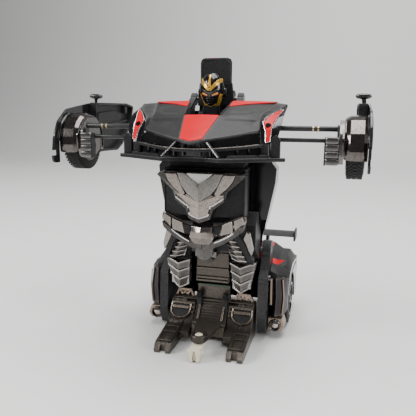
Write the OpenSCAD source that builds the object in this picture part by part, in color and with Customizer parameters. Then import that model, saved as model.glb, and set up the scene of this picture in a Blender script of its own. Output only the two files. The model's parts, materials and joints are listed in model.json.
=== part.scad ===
// Transforming robot car, standing as a robot.
// +Z is up, the robot faces -Y, and X = 0 is its plane of symmetry.
// Lengths along Y are first measured from the head's own plane, then the whole
// toy is moved so that the origin lies on the table under the middle of its box.

/* [Body] */
// Half the width of the folded car
half_w = 52.5; // [52:0.5:54]
// Height of the fold hinge above the table
fold_z = 61; // [60:0.5:62]
// Depth of the fold hinge behind the head's plane
fold_y = 34; // [33.5:0.5:34.5]

/* [Wheels] */
// Outer radius of every tyre
tyre_r = 18.5; // [17.5:0.5:18.5]
// Outer radius of every rim
rim_r = 13; // [12:0.5:13.5]
// Width of every wheel
wheel_w = 11.5; // [10:0.5:11.5]
// Number of rim spokes
spokes = 10; // [5:1:12]

/* [Arms] */
// Distance that each arm slides out of the chest
arm_travel = 48.5; // [40:0.5:48.5]
// Radius of the upper arm rods
rod_r = 1.6; // [1.4:0.1:1.6]
// Radius of the lower arm rods
low_rod_r = 1.3; // [1.1:0.1:1.3]

/* [Feet] */
// Half the width of the foot block
foot_half = 30.9; // [29:0.1:30.9]
// Distance that the feet slide back under the base
foot_travel = 50; // [45:1:50]

/* [Hidden] */
$fn = 48;

gap = 0.3;            // clearance between bodies
nose_y = -43.3;       // front tip of the hood
tail_y = 95.3;        // back of the rear bumper
mid_y = (nose_y + tail_y) / 2;

// hinge between torso and chest
neck_y = 22;
neck_z = 168;
neck_pin_r = 1.5;
fold_pin_r = 2;
run = 0.05;           // radial play of a running fit

// wheels
axle_r = 2;
rear_y = 55;
front_y = 2;
front_z = tyre_r + 119;
rear_x = 40.8;        // inner face of a rear wheel
front_x = 86.4;       // inner face of a front wheel
arch_r = tyre_r + 1.8;
pocket_r = tyre_r + 2.1;

// side pods and torso
pod_in = 33;
pod_out = 39;
box_half = 24.5;      // half the width of the battery box
cell_r = 7.1;
cell_h = 50;
cell_z = 70.5;
cell_y = 8;
cell_pitch = 14.6;
roof_half = 10.8;      // half the width of the upright roof panel
roof_top = 194.5;

// caster
caster_y = -20;
trail = 7;
caster_r = 4.5;
roller_pin_r = 0.8;
boss_z = 15.4;        // top of the boss that the caster turns in

// arm rods: the two arms pass each other, so their rods lie in two planes
rod_z = 149.5;
low_rod_z = 142.5;
right_rod_y = -6;
left_rod_y = -11;
rod_in = 16;
hand_x = 82.6;        // inner face of the wheel carrier
skin_x = 98.8;        // inner face of the fender skin
side_x = half_w + arm_travel;
fist_y0 = -19.5;      // front of the fist, which slides behind the headlights
fist_y1 = -13;

// splitter's outer end
tip_x = 52.4;
tip_y0 = -22.8;
tip_y1 = -20.2;

// lamp of each headlight
lamp_x = 41.7;
lamp_z = 151;
lamp_r = 2;

// drive motor
motor_y = 83.6;
motor_z = 22;
motor_r = 8.5;
boss_r = 2.5;

black = [0.05, 0.05, 0.06];
gunmetal = [0.36, 0.36, 0.38];
silver = [0.75, 0.75, 0.77];
bronze = [0.2, 0.17, 0.15];
red = [0.8, 0.05, 0.06];
gold = [0.8, 0.6, 0.2];
cream = [0.92, 0.88, 0.74];

module centred() translate([0, -mid_y, 0]) children();
module both() {
    children();
    mirror([1, 0, 0]) children();
}
// a side outline of (y, z) points, from x0 to x1
module side(x0, x1) translate([x0, 0, 0]) rotate([90, 0, 90]) linear_extrude(x1 - x0) children();
// a front outline of (x, z) points, from y0 to y1
module front(y0, y1) translate([0, y1, 0]) rotate([90, 0, 0]) linear_extrude(y1 - y0) children();
module box(lo, hi) translate(lo) cube(hi - lo);
module xrod(x0, x1, y, z, r) translate([x0, y, z]) rotate([0, 90, 0]) cylinder(h = x1 - x0, r = r);
module yrod(y0, y1, x, z, r) translate([x, y1, z]) rotate([90, 0, 0]) cylinder(h = y1 - y0, r = r);
module zrod(z0, z1, x, y, r) translate([x, y, z0]) cylinder(h = z1 - z0, r = r);
// a thin facet whose upper face has the given corners
module facet(corners, t) hull() for (p = corners, d = [0, t])
    translate(p - [0, 0, d]) cube(0.02, center = true);

// ---------- base ----------
module chassis_frame() color(black) centred() difference() {
    union() {
        side(-pod_in, pod_in)
            polygon([[76, 8], [90, 8], [92.5, 20], [92.5, 35], [90, 45], [76, 45]]);
        both() box([foot_half + 0.5, 30, 6], [pod_in, 76, 9]);
    }
    xrod(-14, 14, motor_y, motor_z, motor_r + 0.1);
    xrod(-18, -14, motor_y, motor_z, boss_r + 0.5);
}

module pod() difference() {
    side(pod_in, pod_out) union() {
        polygon([[11, 18], [13, 46], [20, 50], [28, 60], [38, 60], [41.7, 50.6], [47, 49], [80, 46],
            [90, 30], [90, 8], [84, 5], [16, 5]]);
        translate([fold_y, fold_z]) circle(7.5);
    }
    xrod(pod_in - 1, pod_out + 1, fold_y, fold_z, fold_pin_r);
    xrod(pod_in - 1, pod_out + 1, rear_y, tyre_r, axle_r);
    // shallow panel recess on the outer face
    side(pod_out - 1, pod_out + 1) polygon([[15, 24], [17, 40], [30, 44], [30, 22]]);
}
module left_side_pod() color(black) centred() mirror([1, 0, 0]) pod();
module right_side_pod() color(black) centred() pod();

module rear_axles() color(silver) centred() both()
    xrod(pod_in + 0.2, rear_x + wheel_w - 1, rear_y, tyre_r, axle_r);

fender_side = [[36, 44], [40, 52], [55, 57], [75, 57], [93, 49], [95, 36], [95, 14], [90, 10],
    [78, 12], [70, 38]];
fender_hollow = [[36, 30], [38.5, 44.5], [41, 50], [55.5, 54.5], [74.5, 54.5], [91, 47.3],
    [92.8, 35.5], [92.8, 5], [36, 5]];
module rear_body() color(black) centred() difference() {
    union() {
        both() difference() {
            side(rear_x - 0.5, half_w) polygon(fender_side);
            side(rear_x - 1, half_w - 2) polygon(fender_hollow);
            xrod(rear_x - 2, half_w + 1, rear_y, tyre_r, arch_r);
        }
        side(-rear_x + 0.4, rear_x - 0.4) polygon([[42, 50.8], [42, 53.5], [56, 57], [75, 57], [93, 49],
            [95, 36], [95, 24], [92.8, 24], [92.8, 35.5], [91, 46.6], [75, 54.5], [56, 54.5]]);
        both() front(92.8, tail_y) polygon([[0, 12], [44, 12], [46, 24], [0, 24]]);
    }
    // number-plate recess
    box([-14, tail_y - 1, 26], [14, tail_y + 1, 34]);
}

module spoiler() color(black) centred() {
    box([-50, 80, 60.5], [50, 95, 63]);
    both() {
        box([50, 79, 56], [51.5, 95.2, 66]);
        side(27, 30) polygon([[83, 53.6], [90, 50.5], [90, 60.5], [83, 60.5]]);
    }
}

module rear_liners() color(gunmetal) centred() both() difference() {
    side(pod_out + gap, half_w - 1) polygon([[23, 15], [22, 30], [26, 43], [35.6, 43], [35.6, 15]]);
    xrod(pod_out - 1, half_w + 1, rear_y, tyre_r, arch_r);
    box([pod_out + 2.3, 20, 18], [half_w - 3, 33, 40]);
}

module lower_lamps() color(silver) centred() both() {
    difference() {
        box([pod_out + gap, 20, 5], [50, 33, 14.8]);
        xrod(pod_out - 1, half_w + 1, rear_y, tyre_r, arch_r);
        yrod(19, 24, 44.6, 10, 3.2);
    }
    difference() {
        yrod(18.4, 20, 44.6, 10, 4.3);
        yrod(18, 21, 44.6, 10, 3.2);
    }
}

module drive_motor() color(silver) centred() {
    xrod(-13, 13, motor_y, motor_z, motor_r);
    xrod(-17, -13, motor_y, motor_z, boss_r);
}
module circuit_board() color([0.1, 0.35, 0.2]) centred() {
    box([-26, 77, 45], [26, 89, 46.6]);
    box([-9, 79, 46.6], [3, 86, 48.4]);
}
module fold_hinge_pin() color(silver) centred() xrod(-pod_out, pod_out, fold_y, fold_z, fold_pin_r);
module chassis_screws() color(silver) centred() both() for (p = [[83, 38], [83, 13], [22, 44]]) difference() {
    xrod(pod_out, pod_out + 1.1, p[0], p[1], 2);
    box([pod_out + 0.6, p[0] - 3, p[1] - 0.3], [pod_out + 2, p[0] + 3, p[1] + 0.3]);
}

// ---------- wheels ----------
module rim(x) translate([x, 0, 0]) rotate([0, 90, 0]) difference() {
    union() {
        difference() {
            cylinder(h = wheel_w, r = rim_r);
            translate([0, 0, 1]) cylinder(h = wheel_w, r = rim_r - 1.6);
        }
        cylinder(h = wheel_w - 1, r = 3.6);
        for (a = [0:spokes - 1]) rotate([0, 0, a * 360 / spokes])
            translate([3, -0.8, wheel_w - 3.5]) cube([rim_r - 4, 1.6, 2.2]);
    }
    translate([0, 0, -1]) cylinder(h = wheel_w + 2, r = axle_r + run);
}
module tyre(x) translate([x, 0, 0]) rotate([0, 90, 0]) rotate_extrude($fn = 96)
    polygon([[rim_r, 0.4], [tyre_r - 1.2, 0.4], [tyre_r, 1.6], [tyre_r, wheel_w - 1.6],
        [tyre_r - 1.2, wheel_w - 0.4], [rim_r, wheel_w - 0.4]]);
module at_rear() translate([0, rear_y, tyre_r]) children();
module at_front() translate([0, front_y, front_z]) children();
module rear_left_rim() color(gunmetal) centred() mirror([1, 0, 0]) at_rear() rim(rear_x);
module rear_left_tyre() color(black) centred() mirror([1, 0, 0]) at_rear() tyre(rear_x);
module rear_right_rim() color(gunmetal) centred() at_rear() rim(rear_x);
module rear_right_tyre() color(black) centred() at_rear() tyre(rear_x);
module front_left_rim() color(gunmetal) centred() mirror([1, 0, 0]) at_front() rim(front_x);
module front_left_tyre() color(black) centred() mirror([1, 0, 0]) at_front() tyre(front_x);
module front_right_rim() color(gunmetal) centred() at_front() rim(front_x);
module front_right_tyre() color(black) centred() at_front() tyre(front_x);

// ---------- feet ----------
module foot_block() color(bronze) centred() {
    both() {
        difference() {
            side(18.7, foot_half) polygon([[-24, 0], [-25, 3], [-20, 6.5], [-6, 8.5], [3, 9.5], [7, 12],
                [16, 25], [24.8, 25], [24.8, 3], [20, 0]]);
            box([22.6, -26, -1], [25.6, -21, 3.4]);
            box([21, 9.6, 19], [28, 14, 27]);
        }
        side(12.2, 18.7) polygon([[-4, 3], [-5, 8], [3, 9.5], [7, 12], [15, 23.5], [24.8, 23.5], [24.8, 3]]);
    }
    box([-12.2, 17, 3], [12.2, 24.8, 20]);
    box([-12.2, 19, 20], [12.2, 21.4, 35.6]);
}
module foot_ribs() color(bronze) centred() difference() {
    union() {
        side(-12, 12) polygon([[1, 4], [2, 11], [8, 18], [8.5, 19], [16.8, 24], [16.8, 4]]);
        for (x = [-9, -3, 3, 9]) side(x - 1.2, x + 1.2)
            polygon([[0, 4], [1, 12], [10, 22], [16.8, 26.5], [16.8, 4]]);
        box([-4, caster_y, 10.2], [4, 2, boss_z]);
        zrod(10.2, boss_z, 0, caster_y, 5.5);
        both() zrod(20, 32, 9.6, 14.4, 2.2);
    }
    zrod(9, 17, 0, caster_y, neck_pin_r + run);
}
module caster_fork() color(cream) centred() difference() {
    union() {
        zrod(8.6, boss_z - 0.2, 0, caster_y, neck_pin_r);
        zrod(8.4, 9.7, 0, caster_y, 4.8);
        both() side(2.2, 3.6) polygon([[-15.5, 8.5], [-24.5, 8.5], [-30.6, 6], [-30.6, 3], [-27, 1.4],
            [-23.5, 3]]);
    }
    xrod(-5, 5, caster_y - trail, caster_r, roller_pin_r);
}
module caster_wheel() color(cream) centred() difference() {
    xrod(-1.8, 1.8, caster_y - trail, caster_r, caster_r);
    xrod(-5, 5, caster_y - trail, caster_r, roller_pin_r + run);
}
module caster_pin() color(silver) centred() xrod(-3.6, 3.6, caster_y - trail, caster_r, roller_pin_r);

// ---------- torso ----------
module torso_frame() color(black) centred() difference() {
    union() {
        box([-box_half, -1.4, 68], [box_half, 17.5, 123]);
        box([-26.9, -10, 93.6], [26.9, -1.4, 121.5]);
        both() side(box_half, 31) polygon([[9, 67], [28, 55], [39, 54.5], [41.3, 61], [39.5, 63.5],
            [35.6, 65.8], [35.6, 74], [34, 88], [18, 92], [9, 84]]);
        both() box([17, 15.2, 40], [23, 19, 68]);
        side(-12, 12) polygon([[15.8, 122], [20, 122], [20, 158], [26.6, 164], [26.6, 171], [23, 173.5],
            [19, 173.5], [19, 161], [15.8, 158]]);
    }
    box([-22.4, 0.4, 70], [22.4, 18, 121]);
    xrod(-40, 40, fold_y, fold_z, fold_pin_r + run);
    xrod(-20, 20, neck_y, neck_z, neck_pin_r + run);
}
module battery_cells() color([0.75, 0.45, 0.2]) centred() for (i = [-1, 0, 1]) {
    zrod(cell_z, cell_z + cell_h - 1.5, i * cell_pitch, cell_y, cell_r);
    zrod(cell_z + cell_h - 1.5, cell_z + cell_h, i * cell_pitch, cell_y, 2.5);
}
module battery_cover() color(black) centred() difference() {
    box([-22.2, 15.6, 70.2], [22.2, 17.4, 120.8]);
    for (z = [78, 95, 112]) box([-12, 16.8, z], [12, 18, z + 2]);
}
back_side = [[20.3, 84], [20.3, 160], [24, 160], [32, 140], [38, 112], [38.5, 90], [38.5, 72], [36, 66],
    [33, 72], [33, 84]];
back_hollow = [[19, 86], [19, 155], [22.5, 155], [30, 139], [36, 111], [36.5, 90], [36.5, 86]];
back_front = [[32, 60], [32, 86], [36.5, 86], [42.4, 116], [42.4, 122], [38, 127], [36, 162]];
function mirrored(p) = concat(p, [for (i = [len(p) - 1:-1:0]) [-p[i][0], p[i][1]]]);
module back_shell() color(black) centred() difference() {
    intersection() {
        side(-44, 44) polygon(back_side);
        front(19, 40) polygon(mirrored(back_front));
    }
    side(-31, 31) polygon(back_hollow);
    box([-12.5, 19, 119], [12.5, 22, 161]);
    box([-32.5, 18, 60], [32.5, 36.4, 93]);
    box([-17, 19, 156], [17, 30, 161]);
}
module v_armour() color(gunmetal) centred() {
    front(-19.5, -10.1) polygon(mirrored([[0, 91.5], [7, 97], [8.5, 103], [15.6, 105.2], [24, 112],
        [27.7, 121], [16, 122.5], [8.5, 121.5], [4.5, 114.5], [0, 113]]));
    front(-23, -19.5) polygon(mirrored([[0, 93], [5.5, 97.5], [6.6, 104], [13, 112],
        [11, 117.5], [4, 111], [0, 109.5]]));
}
module waist_shield() color(silver) centred() {
    front(-14, -8.2) polygon(mirrored([[0, 88.8], [9, 89.5], [20, 91.8], [27.6, 93.4], [26.6, 86],
        [16, 79], [10, 77], [6, 73], [0, 72]]));
    front(-17.2, -14) polygon(mirrored([[0, 88], [6.4, 86], [7, 80], [3.6, 75.5], [0, 74.6]]));
    front(-19.6, -17.2) polygon(mirrored([[0, 88], [6.4, 86], [7, 80], [3.4, 78], [0, 77.6]]));
    box([-20, -8.2, 84], [20, -1.5, 88]);
}
module pelvis() color(gunmetal) centred() {
    side(-8, 8) polygon([[-9, 64], [-10, 71.5], [-1.5, 71.5], [-1.5, 67.9], [10, 67.9], [10, 62], [-4, 62]]);
    for (x = [-5, 0, 5]) side(x - 0.8, x + 0.8) polygon([[-11, 65], [-11, 70.5], [-10, 71], [-9.2, 65]]);
}
module leg_plate() color(bronze) centred() difference() {
    side(-11, 11) polygon([[13, 42], [11, 61.8], [15.2, 61.8], [17, 42]]);
    yrod(10, 20, 0, 50, 1.6);
}
module thighs() color(silver) centred() both() {
    difference() {
        side(12, 24) polygon([[-8, 83], [-1.6, 83], [-1.6, 67.8], [10, 67.6], [10, 59.5], [0, 58.8],
            [-9, 64]]);
        for (z = [62:4:78]) box([11, -12, z], [25, -6.5, z + 1.6]);
    }
    side(25, 29.5) polygon([[-7, 82], [6, 80], [8.6, 66], [8, 60], [-2, 62]]);
}
module shins() color(gunmetal) centred() both() for (b = [0:2]) {
    y = 3 + b * 1.6;
    z = 58.2 - b * 6.6;
    side(13.5 + b, 32 - b * 1.6)
        polygon([[y, z - 2], [y + 2, z], [15.1, z], [15.1, z - 6.6], [y + 1, z - 6.6]]);
}
module helmet(grow = 0) translate([0, 8.2, 0]) rotate_extrude()
    polygon([[0, 161], [5.6 + grow, 161], [7.2 + grow, 166], [8 + grow, 173], [7.2 + grow, 179.4],
        [4.6 + grow, 183.3 + grow], [0, 184.5 + grow]]);
module head_core() color(black) centred() {
    helmet();
    both() xrod(5, 9.5, 9, 172, 3);
    box([-4, 8, 157], [4, 15.7, 165]);
}
module face_mask() color(gold) centred() difference() {
    union() {
        front(-0.8, 6) polygon(mirrored([[0, 168.5], [3.2, 168.5], [4.6, 165], [2.4, 161.4], [0, 161.4]]));
        front(-0.6, 6) polygon(mirrored([[0, 173.2], [6.4, 177], [6.8, 179], [0, 175.6]]));
        side(-1, 1) polygon([[-0.6, 176], [1, 183], [6, 185.8], [12, 184], [12, 176]]);
    }
    helmet(0.02);
}
module roof_panel() color(black) centred() front(16.6, 18.8) union() {
    polygon(mirrored([[12.5, 163], [12.5, 168], [roof_half, 176], [roof_half, roof_top - 3],
        [roof_half - 3, roof_top]]));
    both() translate([roof_half - 3, roof_top - 3]) circle(3);
}

// ---------- chest ----------
// room for a retracted wheel, and the track that the fist slides along
module pocket() both() {
    xrod(33.8, 60, front_y, front_z, pocket_r);
    box([24.6, fist_y0 - gap, 127.4], [60, fist_y1 + gap, 145.8]);
}
module rod_tunnels(play) {
    for (s = [[right_rod_y, 1], [left_rod_y, -1]]) {
        xrod(-60, 60, s[0], rod_z, rod_r + play);
        xrod(-60, 60, s[0], low_rod_z, low_rod_r + play);
    }
}
module rod_guide() color(black) centred() difference() {
    box([-20, -15.5, 138.5], [20, -1.5, 151.9]);
    rod_tunnels(run);
    box([-14, -17, 145.2], [14, -12.8, 147]);
}
module chest_frame() color(black) centred() {
    both() difference() {
        side(14.3, 18.3) union() {
            polygon([[-1.5, 139], [4, 139], [13, 152], [18, 163.4], [22, 163.6], [22, 172], [17.5, 168],
                [6, 162], [-1.5, 158]]);
            translate([neck_y, neck_z]) circle(3.4);
        }
        xrod(10, 20, neck_y, neck_z, neck_pin_r);
    }
    box([-14.3, -15.5, 134], [14.3, -6, 138.5]);
    box([-5, -36, 134], [5, -15.5, 138]);
    both() box([20, -15.4, 146.2], [28, -13.9, 149]);
}
module hood_skin() {
    // centre facet, the two long side facets, and the raised crown over each wheel
    facet([[-7.1, -40.4, 143], [7.1, -40.4, 143], [-11.2, -17.3, 156.4], [11.2, -17.3, 156.4]], 2);
    facet([[0, nose_y + 0.1, 141.8], [-7.1, -40.4, 143], [7.1, -40.4, 143]], 2);
    both() {
        facet([[7.1, -40.4, 143], [11.2, -17.3, 156.4], [36.2, -18.6, 148.7], [26, -29, 144.5]], 1.4);
        facet([[11.2, -17.3, 156.4], [13.8, 5.6, 165.5], [42.9, 18.4, 165.3], [36.2, -18.6, 148.7]], 1.2);
        facet([[30, -8, 155.3], [36.2, -18.4, 149], [36.8, -16.2, 153.4], [38.6, -12.2, 156.2],
            [45, -3.2, 160.2],
            [48.8, 9.2, 164.2], [42.9, 18.4, 165.4], [32, 6, 161.6]], 1.2);
    }
}
module hood() color(black) centred() difference() {
    hood_skin();
    pocket();
    // room for the end of the other arm's rod
    both() xrod(0, 34, left_rod_y, rod_z, rod_r + gap);
}
module nose_stripe() color(red) centred()
    facet([[-6.9, -40, 144.1], [6.9, -40, 144.1], [-10.8, -17.5, 157.2], [10.8, -17.5, 157.2]], 0.8);
module hood_wedges() color(red) centred() both()
    facet([[14.4, 4.6, 166.4], [15.4, 6.4, 166.8], [41, 17.6, 166.3], [24, 2.4, 163.4]], 0.8);
module bumper() color(black) centred() both() {
    difference() {
        translate([0, 0, 135.2]) linear_extrude(5) polygon([[0, -41.5], [15, -40.8], [37.4, -24.6],
            [43, -20.6], [38, -20.6], [35.5, -23], [15, -36.4], [0, -37.4]]);
        box([0, -38, 133], [6, -30, 138.4]);
    }
    hull() {
        translate([9.3, -38.6, 140]) cube([2.4, 2, 0.2]);
        translate([15.6, -42.4, 133]) cube([2.4, 2.4, 0.2]);
    }
}
module splitter() color(black) centred() both() {
    translate([0, 0, 130.4]) linear_extrude(2.6) polygon([[0, -37], [8, -37.5], [18, -43], [30, -35.5],
        [46, -24.8], [tip_x, tip_y0], [tip_x, tip_y1], [40, -20.4], [36, -24.2], [24, -27], [0, -28]]);
    box([43.8, -24, 132.8], [49.4, -20.5, 146]);
}
module headlights() color(black) centred() difference() {
    both() {
        facet([[36.8, -18.8, 148.8], [37.2, -16.2, 153.4], [43.6, -18.6, 149.9], [44.6, -10, 156.6]], 1.6);
        facet([[36.8, -18.8, 148.8], [40.6, -22.8, 141], [43.5, -22.8, 142.3], [43.6, -18.6, 149.9]], 1.6);
        facet([[43.6, -18.6, 149.9], [44.6, -10, 156.6], [48, -1, 160.2], [47.8, -11, 155.4]], 1.6);
        facet([[44.6, -10, 156.6], [48, -1, 160.2], [49.3, 9, 163.8], [49.4, 1, 159]], 1.6);
    }
    hood_skin();
    pocket();
    both() yrod(-26, -8, lamp_x, lamp_z, lamp_r + run);
}
module headlight_leds() color("white") centred() difference() {
    both() yrod(-20.4, -17, lamp_x, lamp_z, lamp_r);
    pocket();
}
module chest_hinge_pin() color(silver) centred() xrod(-18.3, 18.3, neck_y, neck_z, neck_pin_r);

// ---------- arms: built on the right, mirrored to the left ----------
module fist(rod_y) {
    difference() {
        side(hand_x, front_x - 1.2) polygon([[-15.5, 129], [-17.4, 134], [-17.4, 142], [-15.5, 147],
            [-11, 152], [-6, 155], [4, 155], [9, 150], [9, 133], [2, 129]]);
        xrod(60, 90, rod_y, rod_z, rod_r);
        xrod(60, 90, rod_y, low_rod_z, low_rod_r);
    }
    xrod(front_x - 1.2, front_x + wheel_w - 1, front_y, front_z, axle_r);
    for (i = [0:3]) box([74.2, fist_y0 + (i % 2) * 0.4, 128.6 + i * 4.2], [hand_x, fist_y1, 132.4 + i * 4.2]);
    box([76, fist_y0 + 1, 129], [hand_x, fist_y1 - 0.6, 145]);
}
module rods(rod_y) {
    xrod(rod_in, front_x - 1.2, rod_y, rod_z, rod_r);
    xrod(rod_in, front_x - 1.2, rod_y, low_rod_z, low_rod_r);
}
module arch_liner() difference() {
    xrod(front_x - 1.2, skin_x, front_y, front_z, tyre_r + 1.7);
    xrod(front_x - 0.4, skin_x + 1, front_y, front_z, tyre_r + 0.5);
    box([80, -30, 110], [110, 30, 131]);
    xrod(80, 90, front_y, front_z, axle_r + 0.02);
}
fender_outline = [[-19, 124.5], [-24.6, 125], [-25.4, 129], [-23, 142], [-18, 152], [-6, 160.5],
    [10, 162.8], [26, 165], [80, 165.6], [94, 163.6], [90, 149], [70, 132], [60, 128.4], [26, 127]];
module fender() difference() {
    union() {
        side(skin_x, side_x) polygon(fender_outline);
        difference() {
            side(93, skin_x) polygon([[26, 130], [26, 164.8], [80, 165.5], [92.5, 163.4], [88.4, 149.6],
                [69.4, 133], [60, 129]]);
            side(94.6, skin_x + 0.5) polygon([[28, 132], [28, 162.6], [79, 163.4], [90, 161.6],
                [86.6, 150.6], [68.4, 135.2], [60, 131.4]]);
            side(92, 94) polygon([[31, 136], [31, 158], [60, 160], [74, 158], [62, 140]]);
        }
    }
    xrod(skin_x - 1, side_x + 1, front_y, front_z, tyre_r + 0.8);
    box([skin_x - 1, -16, 110], [side_x + 1, 14, 131]);
    // slot that lets the splitter's end pass
    box([skin_x - 1, tip_y0 - 0.9, 129.6], [side_x + 1, tip_y1 + 0.6, 133.8]);
}
module mirror_pod() {
    side(95, 97) polygon([[29.4, 165.05], [31.8, 165.15], [31.8, 168], [29.8, 168]]);
    translate([91.6, 31, 169]) rotate([0, 90, 0]) rotate_extrude()
        polygon([[0, 0], [1.9, 0.8], [2.8, 3], [2.8, 5.6], [1.9, 8], [0, 8.8]]);
}
module left_arm() centred() mirror([1, 0, 0]) children();
module left_fist() color(silver) left_arm() fist(left_rod_y);
module left_rods() color(black) left_arm() rods(left_rod_y);
module left_arch_liner() color(gunmetal) left_arm() arch_liner();
module left_fender() color(black) left_arm() fender();
module left_mirror() color(gunmetal) left_arm() mirror_pod();
module right_fist() color(silver) centred() fist(right_rod_y);
module right_rods() color(black) centred() rods(right_rod_y);
module right_arch_liner() color(gunmetal) centred() arch_liner();
module right_fender() color(black) centred() fender();
module right_mirror() color(gunmetal) centred() mirror_pod();

chassis_frame();
left_side_pod();
right_side_pod();
rear_axles();
rear_body();
spoiler();
rear_liners();
lower_lamps();
drive_motor();
circuit_board();
fold_hinge_pin();
chassis_screws();
rear_left_rim();
rear_left_tyre();
rear_right_rim();
rear_right_tyre();
foot_block();
foot_ribs();
caster_fork();
caster_wheel();
caster_pin();
torso_frame();
battery_cells();
battery_cover();
back_shell();
v_armour();
waist_shield();
pelvis();
leg_plate();
thighs();
shins();
head_core();
face_mask();
roof_panel();
chest_frame();
rod_guide();
hood();
nose_stripe();
hood_wedges();
bumper();
splitter();
headlights();
headlight_leds();
chest_hinge_pin();
left_fist();
left_rods();
left_arch_liner();
left_fender();
left_mirror();
front_left_rim();
front_left_tyre();
right_fist();
right_rods();
right_arch_liner();
right_fender();
right_mirror();
front_right_rim();
front_right_tyre();
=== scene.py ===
"""Looks of a transforming robot car, standing as a robot.

Lengths in this file are the toy's own millimetres: X to the viewer's right, Y away
from the viewer, Z up from the table, with Y counted from the middle of the front
axle's plane. Workshop.place turns them into metres in the row frame.
"""
import json
import logging
import math
from collections.abc import Callable
from dataclasses import dataclass, field
from enum import Enum

import bmesh
import bpy
import numpy as np
from mathutils import Matrix, Vector

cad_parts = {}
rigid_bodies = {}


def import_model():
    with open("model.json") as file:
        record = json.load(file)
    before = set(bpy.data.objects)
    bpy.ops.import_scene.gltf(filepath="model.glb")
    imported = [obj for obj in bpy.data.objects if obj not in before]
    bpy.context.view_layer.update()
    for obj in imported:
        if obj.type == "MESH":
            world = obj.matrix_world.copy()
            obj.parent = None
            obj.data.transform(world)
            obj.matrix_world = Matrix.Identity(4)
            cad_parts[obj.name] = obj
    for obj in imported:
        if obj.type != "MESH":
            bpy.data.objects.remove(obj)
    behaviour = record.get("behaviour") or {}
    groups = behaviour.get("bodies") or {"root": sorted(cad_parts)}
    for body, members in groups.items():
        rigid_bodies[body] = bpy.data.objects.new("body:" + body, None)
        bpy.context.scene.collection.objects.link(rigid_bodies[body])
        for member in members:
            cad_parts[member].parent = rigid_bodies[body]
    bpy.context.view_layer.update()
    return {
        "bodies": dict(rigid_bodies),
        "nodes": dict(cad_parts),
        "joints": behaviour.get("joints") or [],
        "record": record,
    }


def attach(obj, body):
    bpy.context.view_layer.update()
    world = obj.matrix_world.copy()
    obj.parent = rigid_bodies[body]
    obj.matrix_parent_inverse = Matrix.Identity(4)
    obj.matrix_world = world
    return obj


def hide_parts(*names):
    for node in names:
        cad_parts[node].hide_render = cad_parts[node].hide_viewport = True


LOG = logging.getLogger("robot_car")
FOLD_HINGE_Y = 34.0
RIGHT_ROD_Y = -6.0
LEFT_ROD_Y = -11.0
BACK = (0, 1, 0)
Array = np.ndarray
Point = tuple[float, float, float]
Outline = list[tuple[float, float]]
Height = Callable[[Array, Array], Array]
Tree = bpy.types.NodeTree
Socket = bpy.types.NodeSocket


# ---------------------------------------------------------------- shapes
def grid_quads(rows: int, cols: int, wrap_rows: bool = False, wrap_cols: bool = False) -> Array:
    """Quads that join neighbouring points of a rows by cols grid.

    Args:
        rows: number of rows. cols: number of columns.
        wrap_rows: whether the last row joins the first. wrap_cols: the same for columns.
    Returns:
        An array of four point numbers for each quad.
    """
    r, c = np.meshgrid(np.arange(rows if wrap_rows else rows - 1),
                       np.arange(cols if wrap_cols else cols - 1), indexing="ij")
    up, right = (r + 1) % rows, (c + 1) % cols
    return np.stack([r * cols + c, r * cols + right, up * cols + right, up * cols + c], -1).reshape(-1, 4)


@dataclass
class Shape:
    """Closed surface in millimetres: points, and faces as tuples of point numbers."""

    points: Array
    faces: list[tuple[int, ...]]

    def __add__(self, other: "Shape") -> "Shape":
        """The two shapes side by side in one mesh."""
        shift = len(self.points)
        return Shape(np.vstack([self.points, other.points]),
                     self.faces + [tuple(i + shift for i in f) for f in other.faces])

    def mirrored(self) -> "Shape":
        """The same shape on the other side of X = 0, with its faces turned back outwards."""
        return Shape(self.points * [-1, 1, 1], [f[::-1] for f in self.faces])

    def both(self) -> "Shape":
        """The shape and its mirror image."""
        return self + self.mirrored()


def together(shapes: list[Shape]) -> Shape:
    """All shapes of a list in one mesh."""
    whole = shapes[0]
    for shape in shapes[1:]:
        whole = whole + shape
    return whole


@dataclass(frozen=True)
class Plane:
    """A place for flat outlines: origin, the directions of the outline's two axes, and outward."""

    origin: Point
    along: Point
    up: Point

    def map(self, uv: Array, depth: Array | float) -> Array:
        """Origin plus u times along, v times up and depth times the outward normal."""
        a = np.array(self.along, float)
        a = a / np.linalg.norm(a)
        b = np.array(self.up, float)
        b = b - a * (a @ b)
        b = b / np.linalg.norm(b)
        out = np.cross(a, b)
        depth = np.broadcast_to(np.asarray(depth, float), uv.shape[:-1])
        return np.array(self.origin) + uv[..., :1] * a + uv[..., 1:2] * b + depth[..., None] * out


def facing_front(y: float) -> Plane:
    """The upright plane at depth y: outlines are (x, z), and outward is towards the viewer."""
    return Plane((0, y, 0), (1, 0, 0), (0, 0, 1))


def facing_side(x: float) -> Plane:
    """The plane at side place x: outlines are (y, z), and outward is +X."""
    return Plane((x, 0, 0), (0, 1, 0), (0, 0, 1))


def facing_up(z: float) -> Plane:
    """The level plane at height z: outlines are (x, y), and outward is up."""
    return Plane((0, 0, z), (1, 0, 0), (0, 1, 0))


def plate(outline: Outline, plane: Plane, low: float, high: float, draft: float = 0.0) -> Shape:
    """An outline carried along a plane's normal from low to high, closed at both ends.

    Args:
        outline: corners in order. plane: where they lie. low, high: depths of the two ends.
        draft: share by which the outer end shrinks towards the outline's middle.
    Returns:
        The closed plate.
    """
    uv = np.array(outline, float)
    n = len(uv)
    inner = uv + (uv.mean(0) - uv) * draft
    points = np.vstack([plane.map(uv, low), plane.map(inner, high)])
    faces = [tuple(f) for f in grid_quads(2, n, wrap_cols=True).tolist()]
    return Shape(points, faces + [tuple(range(n)), tuple(range(2 * n - 1, n - 1, -1))])


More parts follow.
